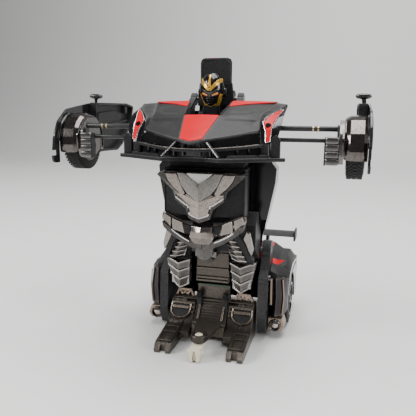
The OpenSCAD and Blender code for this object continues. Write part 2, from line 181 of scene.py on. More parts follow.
def ridged(outline: Outline, plane: Plane, low: float, height: Height) -> Shape:
    """A plate whose outer face follows a height function of the outline's own u and v.

    The outer face is a fan of triangles from the outline's middle, so a ridge shows.

    Args:
        outline: corners in order. plane: where they lie. low: depth of the back.
        height: function of u and v arrays that gives the outer depth.
    Returns:
        The closed plate.
    """
    uv = np.array(outline, float)
    n = len(uv)
    mid = uv.mean(0, keepdims=True)
    top = np.vstack([uv, mid])
    points = np.vstack([plane.map(uv, low), plane.map(top, height(top[:, 0], top[:, 1]))])
    faces = [tuple(f) for f in grid_quads(2, n, wrap_cols=True).tolist()] + [tuple(range(n))]
    return Shape(points, faces + [(n + (i + 1) % n, n + i, 2 * n) for i in range(n)])


def mirrored_outline(half: Outline) -> Outline:
    """The outline whose right half, from bottom middle to top middle, is given."""
    return half + [(-x, z) for x, z in reversed(half) if abs(x) > 1e-6]


def dense(net: list[list[Point]], steps: int, crown: float = 0.0) -> Array:
    """A fine grid through a coarse net of corners.

    Each cell is the bilinear blend of its four corners, raised in its middle by crown times
    the product of two half sine waves, so creases stay on the net's lines.

    Args:
        net: rows of corners. steps: fine cells along each coarse cell. crown: bulge in mm.
    Returns:
        The grid of points.
    """
    c = np.array(net, float)
    rows, cols = c.shape[:2]
    r, q = np.meshgrid(np.linspace(0, rows - 1, (rows - 1) * steps + 1),
                       np.linspace(0, cols - 1, (cols - 1) * steps + 1), indexing="ij")
    i = np.minimum(r.astype(int), rows - 2)
    j = np.minimum(q.astype(int), cols - 2)
    f, g = (r - i)[..., None], (q - j)[..., None]
    grid = (c[i, j] * (1 - f) * (1 - g) + c[i + 1, j] * f * (1 - g)
            + c[i, j + 1] * (1 - f) * g + c[i + 1, j + 1] * f * g)
    return grid + np.array([0, -0.4, 0.9]) * crown * np.sin(math.pi * f) * np.sin(math.pi * g)


def skin(top: Array, thickness: float, inward: Point = (0, 0, -1)) -> Shape:
    """A grid given a back at a fixed offset and a rim, so that it is a closed shell."""
    rows, cols = top.shape[:2]
    n = rows * cols
    back = top + np.array(inward, float) * thickness
    quads = grid_quads(rows, cols)
    ring = np.concatenate([np.arange(cols - 1), np.arange(rows - 1) * cols + cols - 1,
                           n - 1 - np.arange(cols - 1), (rows - 1 - np.arange(rows - 1)) * cols])
    turn = np.roll(ring, -1)
    rim = np.stack([ring, turn, turn + n, ring + n], -1)
    faces = np.vstack([quads, quads[:, ::-1] + n, rim])
    return Shape(np.vstack([top.reshape(-1, 3), back.reshape(-1, 3)]), [tuple(f) for f in faces.tolist()])


def lathe(profile: Outline, centre: Point, segments: int = 64, start: float = 0.0,
          sweep: float = 360.0) -> Shape:
    """A closed (x, radius) profile turned about the X axis through centre.

    Angle 0 is straight ahead (-Y) and 90 is up.

    Args:
        profile: loop of (x, radius). centre: point on the axis. segments: steps of the turn.
        start: first angle in degrees. sweep: turned angle in degrees.
    Returns:
        The turned solid, with end faces where it isn't a whole turn.
    """
    whole = sweep >= 360
    p = np.array(profile, float)
    a = np.radians(start + np.linspace(0, sweep, segments + 1)[:segments + (0 if whole else 1)])[:, None]
    points = np.stack([p[:, 0] + centre[0] + a * 0, centre[1] - p[:, 1] * np.cos(a),
                       centre[2] + p[:, 1] * np.sin(a)], -1)
    rows, cols = points.shape[:2]
    faces = [tuple(f) for f in grid_quads(rows, cols, wrap_rows=whole, wrap_cols=True).tolist()]
    if not whole:
        faces += [tuple(range(cols)), tuple(range(rows * cols - 1, (rows - 1) * cols - 1, -1))]
    return Shape(points.reshape(-1, 3), faces)


def bar(path: list[Point], width: float, height: float, up: Point = (0, 0, 1), sides: int = 4) -> Shape:
    """A profile carried along a path: a box section for four sides, else an ellipse.

    At each point the section stands square to the path's mean direction there.

    Args:
        path: points of the centre line. width, height: size of the section.
        up: direction that the section's height follows. sides: corners of the section.
    Returns:
        The closed bar.
    """
    p = np.array(path, float)
    step = np.diff(p, axis=0)
    step = step / np.linalg.norm(step, axis=1, keepdims=True)
    t = np.vstack([step[:1], step[:-1] + step[1:], step[-1:]])
    t = t / np.linalg.norm(t, axis=1, keepdims=True)
    side = np.cross(t, np.array(up, float))
    side = side / np.linalg.norm(side, axis=1, keepdims=True)
    top = np.cross(side, t)
    a = (np.arange(sides) + 0.5) * 2 * math.pi / sides
    reach = math.sqrt(2) if sides == 4 else 1.0
    points = (p[:, None] + side[:, None] * (np.cos(a) * width / 2 * reach)[None, :, None]
              + top[:, None] * (np.sin(a) * height / 2 * reach)[None, :, None])
    n = len(p)
    faces = [tuple(f) for f in grid_quads(n, sides, wrap_cols=True).tolist()]
    faces += [tuple(range(sides)), tuple(range(n * sides - 1, (n - 1) * sides - 1, -1))]
    return Shape(points.reshape(-1, 3), faces)


def pebble(centre: Point, size: Point, power: float = 0.45, rings: int = 16) -> Shape:
    """A rounded block: a sphere whose sines and cosines are raised to a power below one.

    Args:
        centre: middle point. size: full lengths along X, Y, Z. power: 1 is round, 0.2 is boxy.
        rings: steps from pole to pole.
    Returns:
        The closed block.
    """
    v, u = np.meshgrid(np.linspace(-math.pi / 2, math.pi / 2, rings + 1),
                       np.linspace(0, 2 * math.pi, 2 * rings + 1)[:-1], indexing="ij")

    def soft(w: Array) -> Array:
        """Signed power of w."""
        return np.sign(w) * np.abs(w) ** power

    unit = np.stack([soft(np.cos(v)) * soft(np.cos(u)), soft(np.cos(v)) * soft(np.sin(u)), soft(np.sin(v))], -1)
    points = np.array(centre) + unit * np.array(size) / 2
    faces = grid_quads(rings + 1, 2 * rings, wrap_cols=True)
    return Shape(points.reshape(-1, 3), [tuple(f) for f in faces.tolist()])


def block(low: Point, high: Point) -> Shape:
    """A box between two corners."""
    x, y = (low[0], high[0]), (low[1], high[1])
    return plate([(x[0], y[0]), (x[1], y[0]), (x[1], y[1]), (x[0], y[1])], facing_up(0), low[2], high[2])


def boxes(corners: Array) -> Shape:
    """Separate six-sided cells: each row of corners holds a cell's four inner, then four outer ones."""
    cell = np.array([[0, 3, 2, 1], [4, 5, 6, 7], [0, 1, 5, 4], [1, 2, 6, 5], [2, 3, 7, 6], [3, 0, 4, 7]])
    faces = (cell[None] + 8 * np.arange(len(corners))[:, None, None]).reshape(-1, 4)
    return Shape(corners.reshape(-1, 3), [tuple(f) for f in faces.tolist()])


def standing(profile: Outline, centre: Point, segments: int) -> Shape:
    """A lathe whose axis stands upright: the profile is (height, radius)."""
    turned = lathe(profile, (0, 0, 0), segments)
    return Shape(turned.points[:, [1, 2, 0]] + np.array(centre, float), turned.faces)


def facing_lathe(profile: Outline, centre: Point, segments: int) -> Shape:
    """A lathe whose axis runs towards the viewer: the profile is (reach, radius)."""
    turned = lathe(profile, (0, 0, 0), segments)
    return Shape(turned.points[:, [1, 0, 2]] * [1, -1, 1] + np.array(centre, float), turned.faces)


def arc(y: float, z: float, radius: float, first: float, last: float, count: int) -> Outline:
    """Points on a circle round (y, z), at even steps from the first angle to the last, in degrees."""
    turn = np.radians(np.linspace(first, last, count))
    return [(y + radius * math.cos(t), z + radius * math.sin(t)) for t in turn]


def rounded(outline: Outline, radius: float, steps: int = 4) -> Outline:
    """Each corner replaced by a quadratic curve that starts and ends radius away from it."""
    p = np.array(outline, float)
    before, after = np.roll(p, 1, 0) - p, np.roll(p, -1, 0) - p
    near = np.linalg.norm(before, axis=1, keepdims=True)
    far = np.linalg.norm(after, axis=1, keepdims=True)
    a = p + before / near * np.minimum(radius, near * 0.45)
    b = p + after / far * np.minimum(radius, far * 0.45)
    t = np.linspace(0, 1, steps + 1)[None, :, None]
    curve = a[:, None] * (1 - t) ** 2 + 2 * p[:, None] * t * (1 - t) + b[:, None] * t ** 2
    return [tuple(q) for q in curve.reshape(-1, 2).tolist()]


# ---------------------------------------------------------------- finishes
class Slot(Enum):
    """Material slots of the record."""

    GLOSS_BLACK = "gloss_black"
    SATIN_BLACK = "satin_black"
    RED = "gloss_red"
    GUNMETAL = "gunmetal"
    SILVER = "bright_silver"
    BRONZE = "bronze"
    GOLD = "gold"
    SMOKE = "smoke_chrome"
    CHROME = "chrome"
    TYRE = "tyre"
    CREAM = "cream"
    LENS = "lens"


class Effects:
    """Shader groups that several finishes share: grain, flake, lighter raised edges (edge wear and painted highlight)
    and dust.
    """

    def __init__(self) -> None:
        """Builds the four groups."""
        self.grain = self._grain()
        self.flake = self._flake()
        self.rub_and_sheen = self._rub_and_sheen()
        self.dust = self._dust()

    @staticmethod
    def _group(name: str, inputs: dict[str, float],
               outputs: list[str]) -> tuple[Tree, bpy.types.Node, bpy.types.Node]:
        """A new group with float inputs and outputs, and its input and output nodes."""
        tree = bpy.data.node_groups.new(name, "ShaderNodeTree")
        for key, value in inputs.items():
            socket = tree.interface.new_socket(key, in_out="INPUT", socket_type="NodeSocketFloat")
            socket.default_value = value
        for key in outputs:
            tree.interface.new_socket(key, in_out="OUTPUT", socket_type="NodeSocketFloat")
        return tree, tree.nodes.new("NodeGroupInput"), tree.nodes.new("NodeGroupOutput")

    @staticmethod
    def _math(tree: Tree, operation: str, a: Socket | float, b: Socket | float) -> Socket:
        """Output of a Math node whose inputs are sockets or numbers."""
        node = tree.nodes.new("ShaderNodeMath")
        node.operation = operation
        for i, value in enumerate((a, b)):
            if isinstance(value, (int, float)):
                node.inputs[i].default_value = value
            else:
                tree.links.new(value, node.inputs[i])
        return node.outputs[0]

    def _noise(self, tree: Tree, scale: Socket | float, detail: float = 3.0) -> Socket:
        """Noise on the piece's own coordinates, whose scale is a socket or a number."""
        place = tree.nodes.new("ShaderNodeTexCoord")
        noise = tree.nodes.new("ShaderNodeTexNoise")
        noise.inputs["Detail"].default_value = detail
        tree.links.new(place.outputs["Object"], noise.inputs["Vector"])
        if isinstance(scale, (int, float)):
            noise.inputs["Scale"].default_value = scale
        else:
            tree.links.new(scale, noise.inputs["Scale"])
        return noise.outputs["Fac"]

    def _grain(self) -> Tree:
        """Fine moulded grain: a height, and a slow cloud that varies the gloss."""
        tree, given, result = self._group("Moulded grain", {"Scale": 2500.0, "Depth": 0.1}, ["Height", "Cloud"])
        fine = self._noise(tree, given.outputs["Scale"])
        height = self._math(tree, "MULTIPLY", fine, given.outputs["Depth"])
        slow = self._noise(tree, 90.0, 4.0)
        tree.links.new(height, result.inputs["Height"])
        tree.links.new(slow, result.inputs["Cloud"])
        return tree

    def _flake(self) -> Tree:
        """Glitter: small cells, each with its own brightness above a threshold."""
        tree, given, result = self._group("Glitter flake", {"Scale": 3000.0, "Amount": 0.4}, ["Mask"])
        place = tree.nodes.new("ShaderNodeTexCoord")
        cells = tree.nodes.new("ShaderNodeTexVoronoi")
        tree.links.new(place.outputs["Object"], cells.inputs["Vector"])
        tree.links.new(given.outputs["Scale"], cells.inputs["Scale"])
        parts = tree.nodes.new("ShaderNodeSeparateColor")
        tree.links.new(cells.outputs["Color"], parts.inputs["Color"])
        mask = self._math(tree, "MULTIPLY", parts.outputs[0], given.outputs["Amount"])
        tree.links.new(mask, result.inputs["Mask"])
        return tree

    def _rub_and_sheen(self) -> Tree:
        """Lighter raised edges, partly edge wear and partly painted highlight: pointiness broken up by noise."""
        tree, given, result = self._group("Edge rub", {"Amount": 0.5}, ["Mask"])
        shape = tree.nodes.new("ShaderNodeNewGeometry")
        edge = self._math(tree, "SUBTRACT", shape.outputs["Pointiness"], 0.51)
        edge = self._math(tree, "MULTIPLY", edge, 14.0)
        broken = self._math(tree, "MULTIPLY", edge, self._noise(tree, 700.0))
        mask = self._math(tree, "MULTIPLY", broken, given.outputs["Amount"])
        clipped = self._math(tree, "MINIMUM", self._math(tree, "MAXIMUM", mask, 0.0), 1.0)
        tree.links.new(clipped, result.inputs["Mask"])
        return tree

    def _dust(self) -> Tree:
        """Dust that settles on faces that look up."""
        tree, given, result = self._group("Settled dust", {"Amount": 0.2}, ["Mask"])
        shape = tree.nodes.new("ShaderNodeNewGeometry")
        parts = tree.nodes.new("ShaderNodeSeparateXYZ")
        tree.links.new(shape.outputs["Normal"], parts.inputs[0])
        up = self._math(tree, "MAXIMUM", parts.outputs[2], 0.0)
        cloud = self._math(tree, "MULTIPLY", up, self._noise(tree, 260.0, 5.0))
        tree.links.new(self._math(tree, "MULTIPLY", cloud, given.outputs["Amount"]), result.inputs["Mask"])
        return tree


@dataclass(frozen=True)
class Finish:
    """One finish: its colours (red, green, blue), gloss and the strength of each shared effect."""

    name: str
    colour: Point
    second: Point
    metallic: float = 0.0
    roughness: float = 0.2
    spread: float = 0.1
    coat: float = 0.0
    grain_scale: float = 2500.0
    grain_depth: float = 0.05
    flake: float = 0.0
    flake_scale: float = 2600.0
    # rub_and_sheen and its colour lighten raised edges: partly edge wear, partly painted highlight.
    rub_and_sheen: float = 0.1
    rub_and_sheen_colour: Point = (0.35, 0.35, 0.36)
    dust: float = 0.0
    # painted_glow: emission strength, a painted glow for parts that are no lamp.
    painted_glow: float = 0.0
    shine: float = 0.5

    def build(self, effects: Effects) -> bpy.types.Material:
        """The finish as a node material on the piece's own coordinates.

        Args:
            effects: the shared groups.
        Returns:
            The material.
        """
        material = bpy.data.materials.new(self.name)
        material.use_nodes = True
        tree = material.node_tree
        shader = tree.nodes["Principled BSDF"]
        shader.inputs["Metallic"].default_value = self.metallic
        shader.inputs["Coat Weight"].default_value = self.coat
        shader.inputs["Coat Roughness"].default_value = 0.06
        shader.inputs["Specular IOR Level"].default_value = self.shine
        # Emission paints a glow in the finish's own colour.
        shader.inputs["Emission Color"].default_value = (*self.colour, 1)
        shader.inputs["Emission Strength"].default_value = self.painted_glow

        def group(which: Tree, **values: float) -> bpy.types.Node:
            """A placed group with its inputs set."""
            node = tree.nodes.new("ShaderNodeGroup")
            node.node_tree = which
            for key, value in values.items():
                node.inputs[key].default_value = value
            return node

        def blend(factor: Socket, a: Socket | Point, b: Point) -> Socket:
            """Mixes colour a towards b by a mask."""
            node = tree.nodes.new("ShaderNodeMix")
            node.data_type = "RGBA"
            tree.links.new(factor, node.inputs["Factor"])
            if isinstance(a, tuple):
                node.inputs["A"].default_value = (*a, 1)
            else:
                tree.links.new(a, node.inputs["A"])
            node.inputs["B"].default_value = (*b, 1)
            return node.outputs["Result"]

        grain = group(effects.grain, Scale=self.grain_scale, Depth=self.grain_depth)
        colour = blend(grain.outputs["Cloud"], self.colour, self.second)
        if self.flake:
            flake = group(effects.flake, Scale=self.flake_scale, Amount=self.flake)
            bright = tuple(min(1.0, c * 2.6 + 0.1) for c in self.colour)
            colour = blend(flake.outputs["Mask"], colour, bright)
        # Raised edges are mixed towards a lighter colour: edge wear and painted highlight.
        if self.rub_and_sheen:
            colour = blend(group(effects.rub_and_sheen, Amount=self.rub_and_sheen).outputs["Mask"], colour, self.rub_and_sheen_colour)
        if self.dust:
            colour = blend(group(effects.dust, Amount=self.dust).outputs["Mask"], colour, (0.5, 0.48, 0.45))
        tree.links.new(colour, shader.inputs["Base Color"])
        gloss = tree.nodes.new("ShaderNodeMapRange")
        gloss.inputs["To Min"].default_value = self.roughness
        gloss.inputs["To Max"].default_value = self.roughness + self.spread
        tree.links.new(grain.outputs["Cloud"], gloss.inputs["Value"])
        tree.links.new(gloss.outputs["Result"], shader.inputs["Roughness"])
        bump = tree.nodes.new("ShaderNodeBump")
        bump.inputs["Distance"].default_value = 0.0002
        bump.inputs["Strength"].default_value = 0.5
        tree.links.new(grain.outputs["Height"], bump.inputs["Height"])
        tree.links.new(bump.outputs["Normal"], shader.inputs["Normal"])
        return material


FINISHES: dict[str, Finish] = {f.name: f for f in [
    Finish("piano_black", (0.002, 0.002, 0.0025), (0.005, 0.005, 0.006), roughness=0.1, coat=0.2, grain_depth=0.02,
           dust=0.01, shine=0.3),
    Finish("hood_black", (0.013, 0.013, 0.0135), (0.024, 0.024, 0.0245), roughness=0.4, spread=0.16, coat=0.03,
           grain_depth=0.04, rub_and_sheen=0.12, rub_and_sheen_colour=(0.12, 0.12, 0.12), dust=0.04, shine=0.16),
    Finish("moulded_black", (0.0028, 0.0028, 0.003), (0.006, 0.0058, 0.006), roughness=0.34, spread=0.2,
           grain_depth=0.3, rub_and_sheen=0.12, dust=0.01, shine=0.2),
    Finish("rod_black", (0.005, 0.005, 0.005), (0.01, 0.01, 0.01), roughness=0.3, spread=0.15, dust=0.02,
           shine=0.3),
    Finish("lacquer_red", (0.5, 0.001, 0.007), (0.64, 0.004, 0.015), roughness=0.26, spread=0.14, coat=0.05,
           grain_depth=0.02, rub_and_sheen_colour=(0.8, 0.3, 0.3), shine=0.12),
    Finish("champagne_glitter", (0.15, 0.118, 0.1), (0.078, 0.064, 0.057), metallic=0.85, roughness=0.28,
           spread=0.14, grain_depth=0.5, flake=0.9, rub_and_sheen=0.6, rub_and_sheen_colour=(0.7, 0.65, 0.6)),
    Finish("gunmetal_glitter", (0.045, 0.04, 0.036), (0.024, 0.022, 0.021), metallic=0.8, roughness=0.26,
           spread=0.15, grain_depth=0.45, flake=0.8, rub_and_sheen=0.6, rub_and_sheen_colour=(0.4, 0.38, 0.35)),
    Finish("gunmetal_paint", (0.034, 0.032, 0.032), (0.06, 0.057, 0.055), metallic=0.9, spread=0.15,
           grain_depth=0.1, flake=0.1, rub_and_sheen=0.6, rub_and_sheen_colour=(0.45, 0.43, 0.41)),
    Finish("dark_gunmetal", (0.016, 0.015, 0.015), (0.03, 0.028, 0.027), metallic=0.85, roughness=0.22, spread=0.15,
           grain_depth=0.1, rub_and_sheen=0.6, rub_and_sheen_colour=(0.34, 0.32, 0.3)),
    Finish("shin_silver", (0.1, 0.094, 0.088), (0.055, 0.052, 0.049), metallic=0.92, spread=0.12, flake=0.1,
           rub_and_sheen=0.7, rub_and_sheen_colour=(0.7, 0.68, 0.66)),
    Finish("fist_silver", (0.15, 0.142, 0.137), (0.09, 0.085, 0.083), metallic=0.92, spread=0.14, rub_and_sheen=0.4,
           rub_and_sheen_colour=(0.5, 0.48, 0.46)),
    Finish("bright_silver", (0.23, 0.2, 0.178), (0.14, 0.122, 0.11), metallic=0.95, spread=0.12, flake=0.1, rub_and_sheen=0.5,
           rub_and_sheen_colour=(0.78, 0.73, 0.68)),
    Finish("edge_silver", (0.8, 0.79, 0.78), (0.66, 0.65, 0.64), metallic=0.85),
    Finish("white_inlay", (0.78, 0.77, 0.74), (0.7, 0.68, 0.66), roughness=0.3),
    Finish("dark_bronze", (0.022, 0.0175, 0.0145), (0.042, 0.034, 0.029), metallic=0.7, roughness=0.24, spread=0.18,
           grain_depth=0.25, flake=0.06, rub_and_sheen=0.7, rub_and_sheen_colour=(0.3, 0.26, 0.22), dust=0.01),
    Finish("tan_plate", (0.33, 0.24, 0.18), (0.2, 0.145, 0.115), metallic=0.75, roughness=0.24, spread=0.15,
           rub_and_sheen=0.3, rub_and_sheen_colour=(0.6, 0.5, 0.42)),
    Finish("grip_bronze", (0.2, 0.16, 0.125), (0.12, 0.095, 0.078), metallic=0.85, spread=0.15, rub_and_sheen=0.5,
           rub_and_sheen_colour=(0.6, 0.52, 0.44)),
    Finish("gold_paint", (0.72, 0.38, 0.03), (0.86, 0.52, 0.09), metallic=0.7, roughness=0.22, spread=0.12, rub_and_sheen=0.2,
           rub_and_sheen_colour=(0.95, 0.85, 0.5)),
    # The amber eyes get a painted glow by emission; they are no lamp.
    Finish("amber_glass", (0.8, 0.3, 0.03), (0.6, 0.18, 0.01), roughness=0.15, coat=0.5, rub_and_sheen=0.3, painted_glow=0.15),
    Finish("smoke_chrome", (0.05, 0.043, 0.044), (0.03, 0.026, 0.028), metallic=0.95, roughness=0.1, spread=0.08,
           grain_depth=0.02, rub_and_sheen=0.5, rub_and_sheen_colour=(0.45, 0.4, 0.35)),
    Finish("bright_chrome", (0.6, 0.52, 0.45), (0.4, 0.34, 0.3), metallic=1.0, roughness=0.12, spread=0.08,
           grain_depth=0.02),
    Finish("tyre_rubber", (0.008, 0.008, 0.008), (0.016, 0.015, 0.015), roughness=0.55, spread=0.2,
           grain_scale=1800.0, grain_depth=0.6, rub_and_sheen=0.25, rub_and_sheen_colour=(0.06, 0.06, 0.06), dust=0.05, shine=0.25),
    Finish("cream_nylon", (0.72, 0.64, 0.47), (0.8, 0.73, 0.58), roughness=0.42, spread=0.15,
           rub_and_sheen_colour=(0.9, 0.87, 0.8)),
    Finish("turned_steel", (0.32, 0.32, 0.32), (0.24, 0.24, 0.25), metallic=1.0, roughness=0.3, spread=0.2,
           rub_and_sheen=0.3),
    Finish("brass_mark", (0.55, 0.36, 0.12), (0.62, 0.44, 0.18), metallic=0.9, roughness=0.3, rub_and_sheen=0.3),
    Finish("smoked_glass", (0.006, 0.006, 0.008), (0.012, 0.012, 0.014), roughness=0.05, spread=0.05, coat=0.6,
           grain_depth=0.0, rub_and_sheen=0.0, dust=0.05),
    Finish("lens_black", (0.001, 0.001, 0.001), (0.002, 0.002, 0.002), roughness=0.5, rub_and_sheen=0.0, shine=0.05),
    Finish("cell_sleeve", (0.55, 0.3, 0.08), (0.45, 0.22, 0.05), roughness=0.25, rub_and_sheen=0.3),
    Finish("solder_mask", (0.03, 0.16, 0.07), (0.02, 0.1, 0.05), roughness=0.35, rub_and_sheen=0.3),
    Finish("tail_red", (0.5, 0.01, 0.01), (0.6, 0.02, 0.02), roughness=0.1, spread=0.05, coat=0.6, rub_and_sheen=0.0,
           dust=0.06),
    Finish("studio_floor", (0.74, 0.74, 0.73), (0.78, 0.78, 0.77), roughness=0.55, rub_and_sheen=0.0, shine=0.2),
]}


# ---------------------------------------------------------------- workshop
class Workshop:
    """Turns shapes into finished Blender pieces that ride on CAD bodies."""

    def __init__(self, frame: dict) -> None:
        """Keeps the frame, and finds how far the row frame lies from the toy's own measures."""
        self.frame = frame
        fold = next(j for j in frame["joints"] if j["name"] == "torso_fold")
        self.shift = np.array([0.0, fold["pos_m"][1] * 1000 - FOLD_HINGE_Y, 0.0])
        self.effects = Effects()
        self.materials = {name: finish.build(self.effects) for name, finish in FINISHES.items()}

    def place(self, points: Array) -> Array:
        """The toy's millimetres as metres in the row frame."""
        return (np.asarray(points, float) + self.shift) / 1000

    def piece(self, name: str, shape: Shape, finish: str, body: str, slot: Slot,
              replaces: tuple[str, ...] = (), bevel: float = 0.3, smooth: float = 35.0) -> bpy.types.Object:
        """Builds a piece, gives it its finish and fastens it to a body.

        Args:
            name: the piece's name. shape: its surface. finish: name of its finish.
            body: the CAD body that it rides on. slot: not used.
            replaces: CAD nodes that it stands for. bevel: width of rounded edges in mm, 0 for none.
            smooth: angle in degrees past which an edge stays sharp.
        Returns:
            The object.
        """
        mesh = bpy.data.meshes.new(name)
        mesh.from_pydata(self.place(shape.points).tolist(), [], shape.faces)
        work = bmesh.new()
        work.from_mesh(mesh)
        bmesh.ops.remove_doubles(work, verts=work.verts, dist=1e-6)
        bmesh.ops.dissolve_degenerate(work, edges=work.edges, dist=1e-6)
        bmesh.ops.recalc_face_normals(work, faces=work.faces)
        work.to_mesh(mesh)
        work.free()
        mesh.validate()
        mesh.polygons.foreach_set("use_smooth", np.ones(len(mesh.polygons), bool))
        mesh.set_sharp_from_angle(angle=math.radians(smooth))
        piece = bpy.data.objects.new(name, mesh)
        bpy.context.scene.collection.objects.link(piece)
        if bevel:
            modifier = piece.modifiers.new("edges", "BEVEL")
            modifier.width = bevel / 1000
            modifier.segments = 2
            modifier.limit_method = "ANGLE"
            modifier.angle_limit = math.radians(28)
            modifier.harden_normals = True
        mesh.materials.append(self.materials[finish])
        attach(piece, body)
        if replaces:
            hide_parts(*replaces)
        LOG.info("piece %s on %s", name, body)
        return piece

    def dress(self, node: str, finish: str) -> None:
        """Gives a CAD node a finish and leaves its mesh alone."""
        data = self.frame["nodes"][node].data
        data.materials.clear()
        data.materials.append(self.materials[finish])


# ---------------------------------------------------------------- wheels
@dataclass
class Wheel:
    """A rim with spokes and a treaded tyre, in the place of their two CAD nodes."""

    name: str
    body: str
    centre: Point
    side: int
    radius: float = 18.5
    rim_radius: float = 13.0
    width: float = 11.5
    spokes: int = 10
    blocks: int = 44

    def _turned(self, profile: Outline, segments: int = 72) -> Shape:
        """A profile turned about the axle, its x counted outwards from the inner face."""
        return lathe([(x * self.side, r) for x, r in profile], self.centre, segments)

    def tyre(self) -> Shape:
        """A rounded tyre body, with three rows of tread blocks set round it."""
        r, w = self.radius, self.width
        body = self._turned([(0.5, self.rim_radius), (0.5, r - 3), (1.0, r - 1.4), (2.2, r - 0.7), (w - 2.2, r - 0.7),
                             (w - 1.0, r - 1.4), (w - 0.5, r - 3), (w - 0.5, self.rim_radius),
                             (w - 1.4, self.rim_radius - 0.3), (1.4, self.rim_radius - 0.3)])
        a = np.arange(self.blocks) * 2 * math.pi / self.blocks
        half = math.pi / self.blocks * 0.62
        shapes = [body]
        for row, (low, high, lean) in enumerate(((1.1, 4.2, 1), (4.6, w - 4.6, 0), (w - 4.2, w - 1.1, -1))):
            angle = (a + (row % 2) * math.pi / self.blocks)[:, None]
            turn = np.array([-half, half, half, -half, -half, half, half, -half])
            depth = np.array([r - 0.9] * 4 + [r] * 4)
            along = np.array([low, low, high, high] * 2)
            t = angle + turn + lean * 0.05 * (along - low)
            points = np.stack([self.centre[0] + self.side * along + t * 0, self.centre[1] - depth * np.cos(t),
                               self.centre[2] + depth * np.sin(t)], -1)
            shapes.append(boxes(points))
        return together(shapes)

    def rim(self) -> Shape:
        """A dished ring, a hub with its cap and tapered spokes set round the hub."""
        r, w = self.rim_radius - 0.35, self.width
        ring = self._turned([(0.2, r), (w - 0.2, r), (w - 0.2, r - 1.1), (w - 1.6, r - 1.9), (1.2, r - 1.9),
                             (1.2, 6.5), (0.2, 6.5)])
        hub = self._turned([(0.4, 2.3), (0.4, 4.2), (w - 3.4, 4.2), (w - 1.4, 3.6), (w - 0.6, 2.3)], 40)
        cap = self._turned([(w - 2.4, 2.2), (w - 0.4, 2.2), (w - 0.1, 1.5), (w - 0.1, 0.0), (w - 2.4, 0.0)], 32)
        a = np.arange(self.spokes) * 2 * math.pi / self.spokes
        reach = np.array([3.4, 3.4, r - 1.4, r - 1.4] * 2)
        across = np.array([-1.1, 1.1, 0.75, -0.75] * 2)
        along = np.array([w - 4.2, w - 4.2, w - 3.2, w - 3.2, w - 2.0, w - 2.0, w - 1.0, w - 1.0])
        y = -reach * np.cos(a[:, None]) + across * np.sin(a[:, None])
        z = reach * np.sin(a[:, None]) + across * np.cos(a[:, None])
        points = np.stack([self.centre[0] + self.side * along + 0 * y, self.centre[1] + y, self.centre[2] + z], -1)
        return ring + hub + cap + boxes(points)

    def build(self, shop: Workshop) -> None:
        """Makes the tyre and the rim."""
        shop.piece(self.name + "_tyre_tread", self.tyre(), "tyre_rubber", self.body, Slot.TYRE,
                   (self.name + "_tyre",), bevel=0.12)
        shop.piece(self.name + "_rim_spoked", self.rim(), "smoke_chrome", self.body, Slot.CHROME,
                   (self.name + "_rim",), bevel=0.15)


